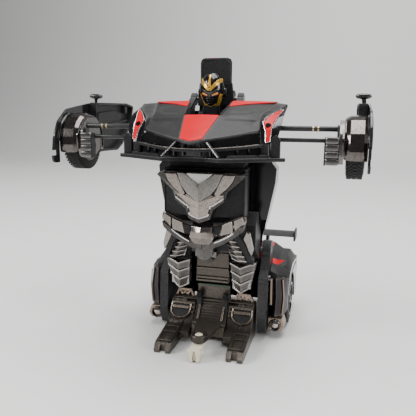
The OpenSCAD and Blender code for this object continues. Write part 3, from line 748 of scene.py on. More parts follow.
# ---------------------------------------------------------------- chest
@dataclass
class Chest:
    """Hood, bumper and headlights: the car's nose, which is the robot's chest."""

    body: str = "chest"
    sheet: float = 1.3
    nose: Point = (0, -43.1, 141.9)
    stripe_edge: list[Point] = field(default_factory=lambda: [
        (7.1, -40.4, 143.2), (9.2, -29, 149.9), (11.3, -16.5, 156.9)])
    opening_rear: Point = (13.8, 5.6, 165.6)

    def _panel(self) -> Array:
        """The hood's right side panel as a grid, with its ledge and its vent slot pressed in.

        In the net's own row and column numbers r and c, the ledge is a step down in front of
        the line r = 1.86 - 0.22 c that fades out towards the front edge. The slot is a narrow
        bell-shaped groove along r = 2.25 - 0.1 c between two columns.
        """
        line_b = [(17.0, -34.3, 144.7), (18.4, -24.4, 150.9), (19.8, -13.4, 157.4), (23.0, 8.6, 165.7)]
        line_c = [(27.0, -26.6, 146.5), (27.6, -18.8, 152.4), (28.6, -8.8, 158.2), (32.6, 13.4, 165.7)]
        line_d = [self.crown_inner[i] for i in (0, 1, 3, 5)]
        edge = self.stripe_edge + [self.opening_rear]
        steps = 18
        grid = dense([list(row) for row in zip(edge, line_b, line_c, line_d)], steps, 0.15)
        r, c = np.meshgrid(np.arange(grid.shape[0]) / steps, np.arange(grid.shape[1]) / steps, indexing="ij")
        ledge = 1.86 - 0.22 * c
        ahead = np.clip((ledge - r) / 0.16, 0, 1) * np.clip(r / ledge, 0, 1)
        fade = np.clip(c / 0.6, 0, 1) * np.clip((3 - c) / 0.4, 0, 1)
        ends = np.clip((c - 0.5) / 0.4, 0, 1) * np.clip((2.3 - c) / 0.4, 0, 1)
        slot = np.exp(-((r - 2.25 + 0.1 * c) / 0.1) ** 2) * ends
        return grid - np.array([0, -0.35, 0.94]) * (0.9 * ahead * fade + 0.5 * slot)[..., None]

    def hood(self) -> Shape:
        """Side panels, a crown over each wheel, and the strip and tip under the stripe."""
        crown = [list(pair) for pair in zip(self.crown_inner, self.crown_outer)]
        left_edge = [(-x, y, z) for x, y, z in self.stripe_edge]
        strip = [[p, (0, (p[1] + q[1]) / 2, p[2] - 0.1), q] for p, q in zip(left_edge, self.stripe_edge)]
        tip = [[(-7.1, -40.4, 143.2), (0, -40.4, 143.1), (7.1, -40.4, 143.2)],
               [(-3.4, -41.9, 142.4), self.nose, (3.4, -41.9, 142.4)]]
        return (skin(self._panel(), self.sheet).both() + skin(dense(crown, 6, 0.4), self.sheet).both()
                + skin(dense(strip, 5), self.sheet) + skin(dense(tip, 3), self.sheet))

    def creases(self) -> Shape:
        """A narrow raised fold along the rear opening's side."""
        return bar([(11.6, -15.6, 157.5), (14.2, 4.6, 165.5)], 0.7, 0.5).both()

    def stripe(self) -> Shape:
        """The red trapezoid that runs back from the nose."""
        inner = [(6.8, -39.9, 143.9), (8.7, -29, 150.3), (10.8, -17.0, 157.2)]
        rows = [[(-x, y, z), (0, y - 0.3, z + 0.25), (x, y, z)] for x, y, z in inner]
        front = [(-3.2, -41.2, 143.1), (0, -42.3, 142.6), (3.2, -41.2, 143.1)]
        return skin(dense([front] + rows, 6, 0.1), 0.7)

    def wedges(self) -> Shape:
        """The two red wedges along the hood's rear edge."""
        net = [[(14.0, -2.6, 162.9), (14.5, 5.7, 166.3)], [(24.0, 4.0, 164.4), (28.0, 11.2, 166.4)],
               [(39.8, 14.4, 165.6), (42.2, 17.9, 166.1)]]
        return skin(dense(net, 4, 0.1), 0.6).both()

    crown_inner = [(36.2, -18.8, 148.5), (35.2, -13, 153.2), (35.3, -8.6, 155.9), (35.4, -4.6, 158.3),
                   (37.6, 3, 160.8), (42.1, 18, 165.2)]
    crown_outer = [(36.6, -19.4, 149.0), (36.9, -16.7, 153.4), (38.6, -12.5, 156.3), (42.0, -7.5, 158.6),
                   (45.1, -3.2, 160.4), (48.8, 9.2, 164.3)]
    inlay_left = [(40.8, -23.4, 141.0), (40.2, -20.7, 147.4), (37.9, -17.2, 153.2), (39.6, -13.6, 155.8),
                  (42.8, -8.4, 158.3), (47.0, -1.4, 160.5)]
    inlay_right = [(43.3, -23.0, 142.0), (43.6, -19.9, 149.3), (44.0, -17.6, 151.4), (44.8, -13.6, 153.6),
                   (45.9, -8.8, 156.6), (47.9, -0.5, 160.4)]

    def headlight_body(self) -> Shape:
        """The black corner panel from the crown's edge, across the inlay, to the car's side."""
        edge = [(38.0, -23.2, 140.2), (36.7, -19.8, 148.4)] + self.crown_outer[1:5]
        side = [(46.4, -21.4, 140.2), (48.2, -18.6, 147.4), (49.0, -14.6, 152.2), (49.2, -11.4, 154.8),
                (49.4, -7.4, 157.8), (49.5, 2.0, 160.7)]
        rows = [list(row) for row in zip(edge, self.inlay_left, self.inlay_right, side)]
        rows.append([self.crown_outer[5], (49.0, 9.1, 164.0), (49.3, 9.1, 163.6), (49.5, 9.0, 162.9)])
        return skin(dense(rows, 4, 0.0), 1.0, (-0.35, 0.7, -0.6)).both()

    def slash(self) -> Shape:
        """The red inlay of the headlight, just proud of its panel."""
        rows = [list(row) for row in zip(self.inlay_left, self.inlay_right)]
        grid = dense(rows, 6) + np.array([0.12, -0.34, 0.26])
        middle = grid.mean(1, keepdims=True)
        return skin(middle + (grid - middle) * 0.84, 0.35, (-0.35, 0.7, -0.6)).both()

    def slash_edge(self) -> Shape:
        """The thin silver line round the red inlay."""
        inner = [tuple(np.array(p) + [0.0, -0.35, 0.25]) for p in self.inlay_left]
        outer = [tuple(np.array(p) + [0.1, -0.35, 0.2]) for p in self.inlay_right]
        return (bar(inner, 0.34, 0.34, (1, -0.4, 0.3)) + bar(outer, 0.34, 0.34, (1, -0.4, 0.3))
                + bar([inner[0], outer[0]], 0.34, 0.34) + bar([inner[-1], outer[-1]], 0.34, 0.34)).both()

    def eyes(self) -> Shape:
        """The round black lamp in each red inlay: a short drum square to the panel."""
        lamp = Plane((41.4, -18.1, 151.0), (6.2, -0.4, -1.8), (-1.0, 2.7, 3.8))
        a = np.linspace(0, 2 * math.pi, 33)[:-1]
        ring = [(1.75 * math.cos(t), 1.75 * math.sin(t)) for t in a]
        return plate(ring, lamp, -1.4, 0.8, 0.04).both()

    def grille(self) -> Shape:
        """The dark wall behind the bumper's openings, bent along the nose."""
        net = [[(0, -36.6, 133.0), (15, -36.2, 133.0), (35, -23.6, 133.0), (41.6, -21.6, 133.0)],
               [(0, -37.8, 141.6), (15, -35.2, 143.4), (34.4, -21.8, 147.0), (40.2, -21.8, 142.4)]]
        ribs = [bar([(x, y - 0.5, 133.4), (x, y - 1.4, 140)], 0.9, 1.6, BACK)
                for x, y in ((5.2, -37.4), (11, -37), (25.5, -29.4), (31.5, -25))]
        return (skin(dense(net, 5), 1.0, BACK) + together(ribs)).both()

    def lips(self) -> Shape:
        """Dark upper lip under the hood's front edge, and the curved middle bar."""
        lip = bar([(0, -41.6, 140.6), (7.2, -39.4, 142.2), (19.5, -31.6, 144.2), (35.8, -18.6, 147.2)], 2.2, 1.1)
        middle = bar([(0, -40.2, 136.8), (8, -40.0, 136.9), (16, -38.2, 137.3), (27, -31.6, 138.2),
                      (38.6, -24.0, 139.4)], 2.6, 1.4)
        post = block((38.0, -24.0, 132.8), (42.6, -20.4, 140.4))
        return (lip + middle + post).both()

    def silver_lines(self) -> Shape:
        """The bright line along the middle bar's top."""
        top = bar([(0, -41.5, 137.9), (8, -41.3, 138.0), (16, -39.5, 138.4), (27, -32.7, 139.2),
                   (37.2, -25.9, 140.3)], 0.7, 0.45)
        return top.both()

    def braces(self) -> Shape:
        """The two slanted struts from the hood down to the splitter."""
        strut = bar([(9.6, -39.2, 141.6), (17.2, -42.2, 133.4)], 1.5, 1.3, BACK)
        post = bar([(1.6, -40.2, 141), (1.6, -38.6, 137.5)], 0.9, 0.9, BACK)
        return (strut + post).both()

    def brace_edges(self) -> Shape:
        """A bright line along each strut's front."""
        return bar([(9.4, -40.1, 141.6), (17.0, -43.0, 133.4)], 0.55, 0.5, BACK).both()

    def splitter(self) -> Shape:
        """The flat lip at the bottom, its raised outer pads, and the upright at each end."""
        blade = plate([(0, -36.8), (8, -37.3), (17.4, -43.1), (30, -35.6), (46, -25.5), (52.4, -22.7), (52.3, -20.3),
                       (40, -20.5), (36, -24), (24, -27), (0, -28)], facing_up(0), 130.4, 132.6)
        pad = plate([(20.5, -39.4), (30, -33.4), (38, -28.2), (34, -26.2), (21, -30)], facing_up(0), 132.4, 134.2,
                    0.12)
        box = plate([(37.2, -28.4), (43.4, -25.2), (42.6, -21.0), (38.0, -22.6)], facing_up(0), 132.4, 134.4, 0.1)
        upright = plate(rounded([(43.9, 131.4), (49.4, 131.4), (49.3, 143.6), (46.6, 146.2), (43.9, 144.0)], 0.8),
                        facing_front(-20.4), 0, 3.2, 0.03)
        return (blade + pad + box + upright).both()

    def splitter_lines(self) -> Shape:
        """Silver-grey front edge of the splitter."""
        edge = bar([(0, -36.95, 132.5), (8, -37.45, 132.5), (17.4, -43.1, 132.5), (30, -35.75, 132.5),
                    (46, -25.7, 132.5), (52.0, -22.95, 132.5)], 0.5, 0.5)
        return edge.both()

    def build(self, shop: Workshop) -> None:
        """Makes every piece of the chest and dresses the CAD nodes that stay."""
        chest, black = self.body, Slot.GLOSS_BLACK
        shop.piece("hood_shell", self.hood(), "hood_black", chest, black, ("hood",), bevel=0.2)
        shop.piece("hood_creases", self.creases(), "hood_black", chest, black, bevel=0.08)
        shop.piece("nose_stripe_panel", self.stripe(), "lacquer_red", chest, Slot.RED, ("nose_stripe",), bevel=0.15)
        shop.piece("hood_wedge_panels", self.wedges(), "lacquer_red", chest, Slot.RED, ("hood_wedges",), bevel=0.12)
        shop.piece("headlight_panels", self.headlight_body(), "piano_black", chest, black, ("headlights",),
                   bevel=0.15)
        shop.piece("headlight_slashes", self.slash(), "lacquer_red", chest, Slot.RED, bevel=0.08)
        shop.piece("headlight_outlines", self.slash_edge(), "edge_silver", chest, Slot.SILVER, bevel=0.06)
        shop.piece("headlight_lamps", self.eyes(), "lens_black", chest, Slot.LENS, ("headlight_leds",), bevel=0.15)
        shop.piece("grille_wall", self.grille(), "piano_black", chest, black, bevel=0.12)
        shop.piece("bumper_bars", self.lips(), "moulded_black", chest, black, ("bumper",), bevel=0.25)
        shop.piece("bumper_bright_line", self.silver_lines(), "bright_silver", chest, Slot.SILVER, bevel=0.1)
        shop.piece("bumper_braces", self.braces(), "piano_black", chest, black, bevel=0.2)
        shop.piece("brace_bright_edges", self.brace_edges(), "edge_silver", chest, Slot.SILVER, bevel=0.08)
        shop.piece("splitter_blade", self.splitter(), "moulded_black", chest, black, ("splitter",), bevel=0.3)
        shop.piece("splitter_lines", self.splitter_lines(), "gunmetal_paint", chest, black, bevel=0.1)
        for node in ("chest_frame", "rod_guide"):
            shop.dress(node, "moulded_black")
        shop.dress("chest_hinge_pin", "turned_steel")


# ---------------------------------------------------------------- head
@dataclass
class Head:
    """A helmet with a gold brow, cheek guards and chin, in front of the roof panel."""

    body: str = "torso"
    centre: Point = (0, 8.4, 172.6)

    def _ball(self, width: float, depth: float, height: float, lift: float = 0.0) -> Array:
        """A closed grid: an ellipsoid that narrows towards the chin by a smooth cubic of height."""
        v, u = np.meshgrid(np.linspace(-math.pi / 2, math.pi / 2, 25), np.linspace(0, 2 * math.pi, 41)[:-1],
                           indexing="ij")
        z = np.sin(v)
        narrow = 1 - 0.32 * np.clip(-z, 0, 1) ** 1.4
        x = width * np.cos(v) * np.cos(u) * narrow
        y = depth * np.cos(v) * np.sin(u) * (1 - 0.12 * np.clip(-z, 0, 1))
        return np.stack([x, self.centre[1] + y, self.centre[2] + lift + height * z], -1)

    def helmet(self) -> Shape:
        """The skull, the two ear drums, and a collar."""
        grid = self._ball(8.3, 8.0, 11.9)
        skull = Shape(grid.reshape(-1, 3), [tuple(f) for f in grid_quads(25, 40, wrap_cols=True).tolist()])
        ear = lathe([(6.6, 0), (6.6, 3.0), (8.9, 3.0), (9.4, 2.3), (9.4, 0)], (0, 9.2, 171.8), 28)
        collar = plate(rounded([(-5.5, 4), (5.5, 4), (5.5, 15), (-5.5, 15)], 2), facing_up(0), 157, 163.2)
        return skull + ear.both() + collar

    def _on_face(self, u: Array, z: Array, proud: float) -> Array:
        """Points on the front of the helmet at side place u and height z, proud of it."""
        h = np.clip((z - self.centre[2]) / 11.9, -0.98, 0.98)
        ring = np.sqrt(1 - h ** 2)
        wide = 8.3 * ring * (1 - 0.32 * np.clip(-h, 0, 1) ** 1.4)
        deep = 8.0 * ring * (1 - 0.12 * np.clip(-h, 0, 1))
        s = np.clip(u / np.maximum(wide, 0.1), -0.985, 0.985)
        y = self.centre[1] - (deep + proud) * np.sqrt(1 - s ** 2)
        return np.stack([u, y, z], -1)

    def _band(self, start: tuple[float, float], end: tuple[float, float], wide0: float, wide1: float,
              proud: float, steps: int = 10) -> Shape:
        """A strip on the face from start to end whose width runs from wide0 to wide1."""
        t, s = np.meshgrid(np.linspace(0, 1, steps), np.linspace(-0.5, 0.5, 4), indexing="ij")
        a, b = np.array(start, float), np.array(end, float)
        run = (b - a) / np.linalg.norm(b - a)
        width = wide0 + (wide1 - wide0) * t
        u = a[0] + (b[0] - a[0]) * t - run[1] * s * width
        z = a[1] + (b[1] - a[1]) * t + run[0] * s * width
        return skin(self._on_face(u, z, proud), 1.0, BACK)

    def gold(self) -> Shape:
        """V brow, crest stripe, cheek guards and the chin line."""
        brow = self._band((0.2, 172.6), (6.3, 179.0), 1.6, 2.6, 0.9)
        tip = self._band((6.0, 178.8), (6.6, 180.4), 2.4, 0.8, 0.8, 4)
        cheek = self._band((7.0, 170.6), (4.4, 163.6), 1.3, 1.5, 0.8)
        chin = self._band((4.6, 164.0), (0.2, 162.0), 1.4, 1.2, 0.7)
        crest = self._band((0, 174.6), (0, 182.6), 1.8, 1.0, 0.95)
        return (brow + tip + cheek + chin).both() + crest

    def mask(self) -> Shape:
        """The dark face plate: brow shade, nose ridge and three mouth slats."""
        nose = self._band((0, 171.6), (0, 165.6), 1.4, 1.0, 0.9)
        shade = self._band((0.9, 170.8), (6.0, 173.6), 0.9, 0.9, 1.0)
        slats = [self._band((-3.0 + i * 0.5, 167.4 - 1.5 * i), (3.0 - i * 0.5, 167.4 - 1.5 * i), 0.7, 0.7, 0.55)
                 for i in range(3)]
        return nose + shade.both() + together(slats)

    def plates(self) -> Shape:
        """Raised silver-black plates on the brow and temples."""
        temple = self._band((6.9, 176.2), (7.0, 171.8), 1.5, 1.2, 0.5)
        front = self._band((2.6, 177.6), (2.0, 183.0), 1.6, 0.9, 0.5)
        return (temple + front).both()

    def eyes(self) -> Shape:
        """Two slanted amber eyes under the brow."""
        return self._band((1.5, 169.4), (5.2, 171.0), 0.9, 1.3, 0.45, 6).both()

    def roof_panel(self) -> Shape:
        """The upright panel behind the head, with its small step and rounded top."""
        upper = mirrored_outline([(0, 178.2), (10.7, 178.2), (10.7, 191.4), (9.9, 193.6), (7.8, 194.5), (0, 194.5)])
        lower = mirrored_outline([(0, 163.2), (12.4, 163.2), (12.3, 168), (11.2, 178.2), (0, 178.2)])
        frame = bar([(10.0, 16.8, 179.2), (9.9, 16.8, 190.8), (7.4, 16.8, 193.5), (0, 16.8, 193.5)], 0.7, 0.5, BACK)
        back = facing_front(18.75)
        return plate(upper, back, 0, 1.7) + plate(lower, back, 0, 2.1) + frame.both()

    def build(self, shop: Workshop) -> None:
        """Makes the head's pieces and the roof panel."""
        shop.piece("helmet", self.helmet(), "piano_black", self.body, Slot.GLOSS_BLACK, ("head_core",), bevel=0.1)
        shop.piece("gold_mask", self.gold(), "gold_paint", self.body, Slot.GOLD, ("face_mask",), bevel=0.15)
        shop.piece("face_plate", self.mask(), "gunmetal_paint", self.body, Slot.GLOSS_BLACK, bevel=0.12)
        shop.piece("temple_plates", self.plates(), "smoke_chrome", self.body, Slot.GLOSS_BLACK, bevel=0.12)
        shop.piece("amber_eyes", self.eyes(), "amber_glass", self.body, Slot.GOLD, bevel=0.1)
        shop.piece("windscreen_panel", self.roof_panel(), "moulded_black", self.body, Slot.SATIN_BLACK,
                   ("roof_panel",), bevel=0.3)
        red = block((-3.6, 16.9, 194.2), (-0.6, 18.4, 194.49))
        shop.piece("roof_red_mark", red, "lacquer_red", self.body, Slot.RED, bevel=0.08)


# ---------------------------------------------------------------- arms
@dataclass
class Arm:
    """One sliding arm: rods, fist, arch liner, fender with its door, and mirror.

    A rod is given as its height and its radius.
    """

    side: int
    rod_y: float
    upper_rod: tuple[float, float] = (149.5, 1.6)
    lower_rod: tuple[float, float] = (142.5, 1.3)
    wheel_x: float = 86.4
    wheel_y: float = 2.0
    wheel_z: float = 137.5

    splitter_slot = [(-25.1, 129.9), (-19.9, 129.9), (-19.9, 133.3), (-24.5, 133.3)]

    @property
    def name(self) -> str:
        """left or right, as the CAD nodes are named."""
        return "right" if self.side > 0 else "left"

    def _set(self, shape: Shape) -> Shape:
        """The right-hand shape, mirrored for the left arm."""
        return shape if self.side > 0 else shape.mirrored()

    def liner(self) -> Shape:
        """A faceted drum over the wheel, open below, with a stepped disc on its inner side."""
        c = (0, self.wheel_y, self.wheel_z)
        drum = lathe([(85.3, 17.6), (86.3, 19.0), (88.6, 20.2), (96.4, 20.3), (98.7, 19.4), (98.7, 19.0),
                      (86.6, 19.0), (86.6, 15.0), (85.3, 15.0)], c, 14, -17, 214)
        disc = lathe([(85.2, 3.0), (85.2, 10.0), (84.6, 10.6), (84.6, 14.2), (85.3, 14.8), (85.3, 18.6), (86.3, 18.6),
                      (86.3, 3.0)], c, 48, -14, 208)
        step = plate(rounded([(-18.6, 133.5), (-19.4, 144), (-13, 150), (-10, 148), (-12.5, 136)], 1.5),
                     facing_side(0), 84.2, 85.4, 0.05)
        return drum + disc + step

    def fist(self) -> Shape:
        """Four rounded fingers and the wrist block."""
        fingers = [pebble((78.6, -16.35 - 0.15 * (i % 2), 130.9 + 4.1 * i), (8.2, 6.0, 4.3), 0.42)
                   for i in range(4)]
        wrist = plate(rounded([(-15.4, 129.2), (-17.2, 134), (-17.2, 142), (-15.3, 147), (-11, 151.8), (-6, 154.6),
                               (4, 154.6), (9, 150), (9, 133), (2, 129.2)], 1.0), facing_side(0), 82.4, 85.2)
        return together(fingers) + wrist

    def knuckle_plate(self) -> Shape:
        """The black plate on the fist's inner face, with a round pad behind it."""
        slab = plate(rounded([(-19.0, 128.4), (-19.0, 144.8), (-13.4, 145.2), (-13.4, 128.8)], 1.2),
                     facing_side(0), 74.2, 75.4, 0.04)
        pad = lathe([(81.2, 0), (81.2, 3.6), (80.6, 4.4), (81.2, 5.4), (84.6, 5.4), (84.6, 0)], (0, -5.2, 136.0), 36)
        return slab + pad

    def rods(self) -> Shape:
        """Two round rods with chamfered ends, the upper one thicker, and a clip."""
        shapes = []
        for z, r in (self.upper_rod, self.lower_rod):
            shapes.append(lathe([(16, 0), (16, r - 0.2), (16.3, r), (84.4, r), (84.8, r - 0.2), (84.8, 0)],
                                (0, self.rod_y, z), 32))
        clip = plate([(-2.4 + self.rod_y, 139.6), (-2.4 + self.rod_y, 149.8), (self.rod_y - 1.4, 151.4),
                      (2.4 + self.rod_y, 152.0), (2.4 + self.rod_y, 139.6)], facing_side(0), 81.0, 82.5)
        return together(shapes) + clip

    def marks(self) -> Shape:
        """Two thin brass rings set in the upper rod."""
        ring = [lathe([(x, 1.5), (x, 1.64), (x + 0.9, 1.64), (x + 0.9, 1.5)], (0, self.rod_y, self.upper_rod[0]), 32)
                for x in (66.4, 69.4)]
        return together(ring)

    def fender(self) -> Shape:
        """Outer skin with the door, open at the front for the splitter's tip, and the wheel lip."""
        outline = rounded([(-19, 124.6), (-24.4, 125.2), (-25.3, 129.2), (-23.0, 142), (-17.6, 152.2), (-6, 160.4),
                           (10, 162.7), (26, 164.9), (80, 165.5), (93.8, 163.5), (89.8, 149), (69.8, 132),
                           (60, 128.5), (26, 127.2), (21.6, 131)], 2.0)
        arch = arc(self.wheel_y, self.wheel_z, 19.4, 18, 168, 28)
        foot = [p for p in outline if p[0] < 0 and p[1] < 129.6]
        rest = [p for p in outline if p[0] > 0 or p[1] > 133.6]
        panel = plate(foot + self.splitter_slot + rest + arch, facing_side(0), 98.9, 100.4)
        lip = lathe([(98.0, 19.4), (98.0, 20.6), (100.2, 21.4), (100.9, 20.8), (100.9, 19.4)],
                    (0, self.wheel_y, self.wheel_z), 40, 4, 168)
        return panel + lip

    def door(self) -> Shape:
        """The door's boxed inner side: a rim with a recessed satin panel and a clip."""
        ring_out = [(26, 130), (26, 164.6), (80, 165.3), (92.4, 163.3), (88.3, 149.6), (69.3, 133), (60, 129.2)]
        shapes = [bar([(95.9, y, z) for y, z in ring_out[i:i + 2]], 1.6, 5.6, (1, 0, 0)) for i in range(6)]
        shapes.append(bar([(95.9, 60, 129.2), (95.9, 26, 130)], 1.6, 5.6, (1, 0, 0)))
        shapes.append(bar([(95.9, 26, 130), (95.9, 26, 164.6)], 1.6, 5.6, (1, 0, 0)))
        shapes.append(plate(ring_out, facing_side(0), 97.4, 98.9))
        shapes.append(plate(rounded([(34, 137), (34, 158), (62, 160), (76, 157.5), (64, 141)], 3),
                            facing_side(0), 96.2, 97.5, 0.04))
        shapes.append(block((94.0, 78, 158), (97.4, 82, 163.6)))
        shapes.append(bar([(95.6, 27, 146), (95.6, 60, 150), (95.6, 84, 152)], 1.2, 1.6, (1, 0, 0)))
        return together(shapes)

    def windows(self) -> Shape:
        """Side window and door line inlays on the outer skin."""
        glass = plate(rounded([(34, 154.5), (40, 163.2), (76, 163.8), (84, 158.4)], 1.5),
                      facing_side(0), 100.2, 100.75, 0.03)
        line = bar([(100.45, 30, 163.5), (100.45, 30.5, 131), (100.45, 58, 131.4), (100.45, 72, 140),
                    (100.45, 80, 150)], 0.5, 0.4, (1, 0, 0))
        return glass + line

    def mirror(self) -> Shape:
        """The mirror's foot and a stalk that leans inwards."""
        stalk = bar([(96.4, 31.4, 165.2), (96.2, 31, 167.2), (95.8, 30.8, 168.6)], 1.8, 2.4)
        foot = plate(rounded([(93.4, 26.5), (97.6, 26.5), (97.6, 36), (93.4, 36)], 1), facing_up(0), 164.6, 165.4)
        return stalk + foot

    def pod(self) -> Shape:
        """The mirror's oval housing."""
        return pebble((95.8, 30.8, 170.0), (10.2, 5.2, 3.6), 0.75, 20)

    def build(self, shop: Workshop) -> None:
        """Makes the arm's pieces."""
        n, body = self.name, self.name + "_arm"
        shop.piece(n + "_arch_drum", self._set(self.liner()), "smoke_chrome", body, Slot.SMOKE,
                   (n + "_arch_liner",), bevel=0.35, smooth=14)
        shop.piece(n + "_fist_fingers", self._set(self.fist()), "fist_silver", body, Slot.SILVER,
                   (n + "_fist",), bevel=0.2)
        shop.piece(n + "_knuckle_plate", self._set(self.knuckle_plate()), "moulded_black", body, Slot.SATIN_BLACK)
        shop.piece(n + "_arm_rods", self._set(self.rods()), "rod_black", body, Slot.SATIN_BLACK,
                   (n + "_rods",), bevel=0.0)
        shop.piece(n + "_rod_marks", self._set(self.marks()), "brass_mark", body, Slot.GOLD, bevel=0.0)
        shop.piece(n + "_fender_skin", self._set(self.fender()), "piano_black", body, Slot.GLOSS_BLACK,
                   (n + "_fender",), bevel=0.3)
        shop.piece(n + "_door_inner", self._set(self.door()), "moulded_black", body, Slot.SATIN_BLACK, bevel=0.3)
        shop.piece(n + "_side_window", self._set(self.windows()), "smoked_glass", body, Slot.GLOSS_BLACK, bevel=0.1)
        shop.piece(n + "_mirror_stalk", self._set(self.mirror()), "moulded_black", body, Slot.SMOKE,
                   (n + "_mirror",), bevel=0.2)
        shop.piece(n + "_mirror_pod", self._set(self.pod()), "gunmetal_paint", body, Slot.SMOKE, bevel=0.0)


# ---------------------------------------------------------------- torso
@dataclass
class Torso:
    """Front armour, waist, legs and the cabin shell behind them."""

    body: str = "torso"
    armour_y: float = -18.4

    @staticmethod
    def _crease(peak: float, reach: float, base: float = 0.0) -> Height:
        """A height function: base plus a peak on the middle line that falls straight to reach."""
        return lambda u, v: base + peak * np.clip(1 - np.abs(u) / reach, 0, 1)

    def frame_plate(self) -> Shape:
        """The dark V that carries the other armour plates, with raised outer bands."""
        half = [(0, 89.9), (6.9, 92.8), (8.9, 98.9), (16.3, 104.9), (17.9, 110.4), (28.6, 120.2), (27.0, 121.6),
                (20.2, 122.2), (8.6, 121.6), (5.0, 117.0), (0, 110.5)]
        upper = plate([(16.0, 105.2), (17.9, 110.4), (28.6, 120.2), (27.0, 121.6), (22.9, 121.4), (21.2, 116.6),
                       (17.6, 112.2), (11.0, 106.8), (15.2, 108.4)], facing_front(-18.2), 0, 2.6, 0.03)
        lower = plate([(0, 89.9), (6.9, 92.8), (8.9, 98.9), (16.3, 104.9), (15.3, 105.6), (7.5, 100.8), (5.9, 95.3),
                       (0, 93.0)], facing_front(-18.2), 0, 3.4, 0.02)
        return plate(mirrored_outline(half), facing_front(-10.2), 0, 8.4, 0.01) + (upper + lower).both()

    def wings(self) -> Shape:
        """Champagne upper wings, one each side."""
        wing = plate([(9.2, 108.4), (11.0, 107.0), (17.5, 112.5), (21.0, 116.8), (22.8, 121.2), (15.0, 121.2)],
                     facing_front(self.armour_y), 0, 3.0, 0.04)
        return wing.both()

    def low_shield(self) -> Shape:
        """The lower champagne shield, folded along its middle line."""
        half = [(0, 94.0), (5.6, 95.8), (6.9, 101.2), (8.8, 102.0), (15.0, 106.4), (16.4, 110.0), (9.2, 107.6),
                (8.0, 108.2), (0, 103.4)]
        return ridged(mirrored_outline(half), facing_front(self.armour_y), 0, self._crease(3.4, 14, 1.8))

    def inner_v(self) -> Shape:
        """The dark inner V between the wings: two faces that meet in a ridge."""
        half = [(0, 103.6), (7.6, 108.6), (11.6, 113.6), (14.9, 121.4), (9.6, 121.5), (5.0, 116.2), (0, 112.4)]
        return ridged(mirrored_outline(half), facing_front(self.armour_y), 0, self._crease(3.0, 14, 2.8))

    def triangle(self) -> Shape:
        """The small white triangle at the top middle."""
        return plate([(-8.9, 121.6), (0, 113.2), (8.9, 121.6)], facing_front(-18.0), 0, 4.6, 0.05)

    def bright_edges(self) -> Shape:
        """Silver lines under the lower shield's steps and round its foot."""
        step = bar([(15.6, -21.2, 106.4), (9.1, -21.8, 102.0), (7.2, -22.0, 101.2), (6.9, -22.0, 99.6)], 1.0, 1.1,
                   BACK)
        foot = bar([(6.3, -22.0, 96.4), (5.4, -22.0, 95.2), (0, -22.8, 93.4)], 1.0, 1.2, BACK)
        return (step + foot).both()

    def waist(self) -> Shape:
        """Two swept wings folded along a line to the outer tip, with two raised facets each."""
        net = [[(7.4, -11.8, 78.2), (7.2, -13.6, 82.6), (7.0, -12.4, 89.0)],
               [(12.6, -11.8, 78.6), (13.0, -13.8, 84.6), (13.6, -12.6, 89.4)],
               [(18.6, -11.8, 81.0), (19.4, -13.9, 87.4), (19.8, -12.8, 92.0)],
               [(24.4, -11.4, 84.8), (25.0, -13.4, 90.4), (25.2, -12.8, 94.4)],
               [(27.0, -11.0, 87.0), (28.2, -12.2, 90.8), (27.8, -12.0, 93.8)]]
        outer = [[(21.6, -14.2, 84.0), (21.2, -15.0, 88.2), (21.0, -15.4, 91.6)],
                 [(26.4, -13.4, 87.6), (27.6, -13.9, 90.8), (25.8, -14.4, 94.0)]]
        inner = [[(12.2, -13.6, 80.8), (12.8, -14.6, 84.8), (13.4, -15.0, 88.6)],
                 [(20.3, -14.4, 83.4), (20.2, -15.2, 87.6), (19.9, -15.6, 91.2)]]
        return (skin(dense(net, 3), 3.0, BACK) + skin(dense(outer, 4, 0.2), 1.6, BACK)
                + skin(dense(inner, 4, 0.2), 1.8, BACK)).both()

    def waist_eyes(self) -> Shape:
        """The dark openings between the wings and the shield."""
        eye = plate(rounded([(7.2, 86.2), (13.0, 87.8), (11.4, 81.0), (8.3, 81.6)], 0.8), facing_front(-12.8), 0, 2.0)
        return (eye + bar([(7.6, -12.4, 88.5), (12.4, -12.4, 88.9)], 1.2, 0.8, BACK)).both()

    def waist_shield(self) -> Shape:
        """The bright centre shield: rows down a soft middle ridge, hooked at the lower corners."""
        rows = [(86.7, 6.9, -16.0, -17.6), (83.5, 7.0, -16.4, -19.4), (79.6, 8.3, -16.2, -19.0),
                (77.0, 7.0, -15.6, -17.3), (74.8, 5.2, -15.0, -16.3)]
        net = [[(x * wide, edge + (ridge - edge) * share, z) for x, share in
                ((-1, 0), (-0.45, 0.6), (0, 1), (0.45, 0.6), (1, 0))] for z, wide, edge, ridge in rows]
        return skin(dense(net, 3), 3.6, BACK)

    def waist_lines(self) -> Shape:
        """The two chrome lines that sweep up from the shield's foot."""
        line = bar([(8.4, -15.4, 76.4), (13.2, -15.0, 78.6), (18.4, -14.6, 81.6), (21.4, -14.2, 84.0)], 0.9, 1.0,
                   BACK)
        return line.both()

    def waist_shadow(self) -> Shape:
        """A dark gunmetal plate below the wings that stands for the shade under them: painted shade."""
        shade_plate = plate([(0, 70.8), (0, 76.4), (6.8, 77.0), (13, 79.6), (19.6, 83.4), (25.4, 87.6), (27.6, 88.4),
                      (26.6, 84.6), (20.4, 79.4), (13, 75.0), (6, 71.6)], facing_front(-8.4), 0, 6.4, 0.01)
        return shade_plate.both()

    def pelvis(self) -> Shape:
        """The grey wedge below the shield, with a rounded lower lip."""
        half = [(0, 62.8), (3.8, 63.6), (5.7, 67.0), (6.0, 72.6), (0, 73.2)]
        return (ridged(mirrored_outline(half), facing_front(-4.5), 0, self._crease(2.0, 6, 4.6))
                + block((-7.2, -5, 63.5), (7.2, 8, 67.6)))

    @staticmethod
    def _thigh_row(number: float) -> list[Point]:
        """Three points across the thigh at a band's number, counted from the hip down."""
        x, y, z = 14.9 + 1.4 * number, -3.6 + 0.35 * number, 78.6 - 3.3 * number
        return [(x - 4.8, y + 3.9, z + 0.7), (x, y + 0.8, z), (x + 4.8, y + 4.1, z - 0.9)]

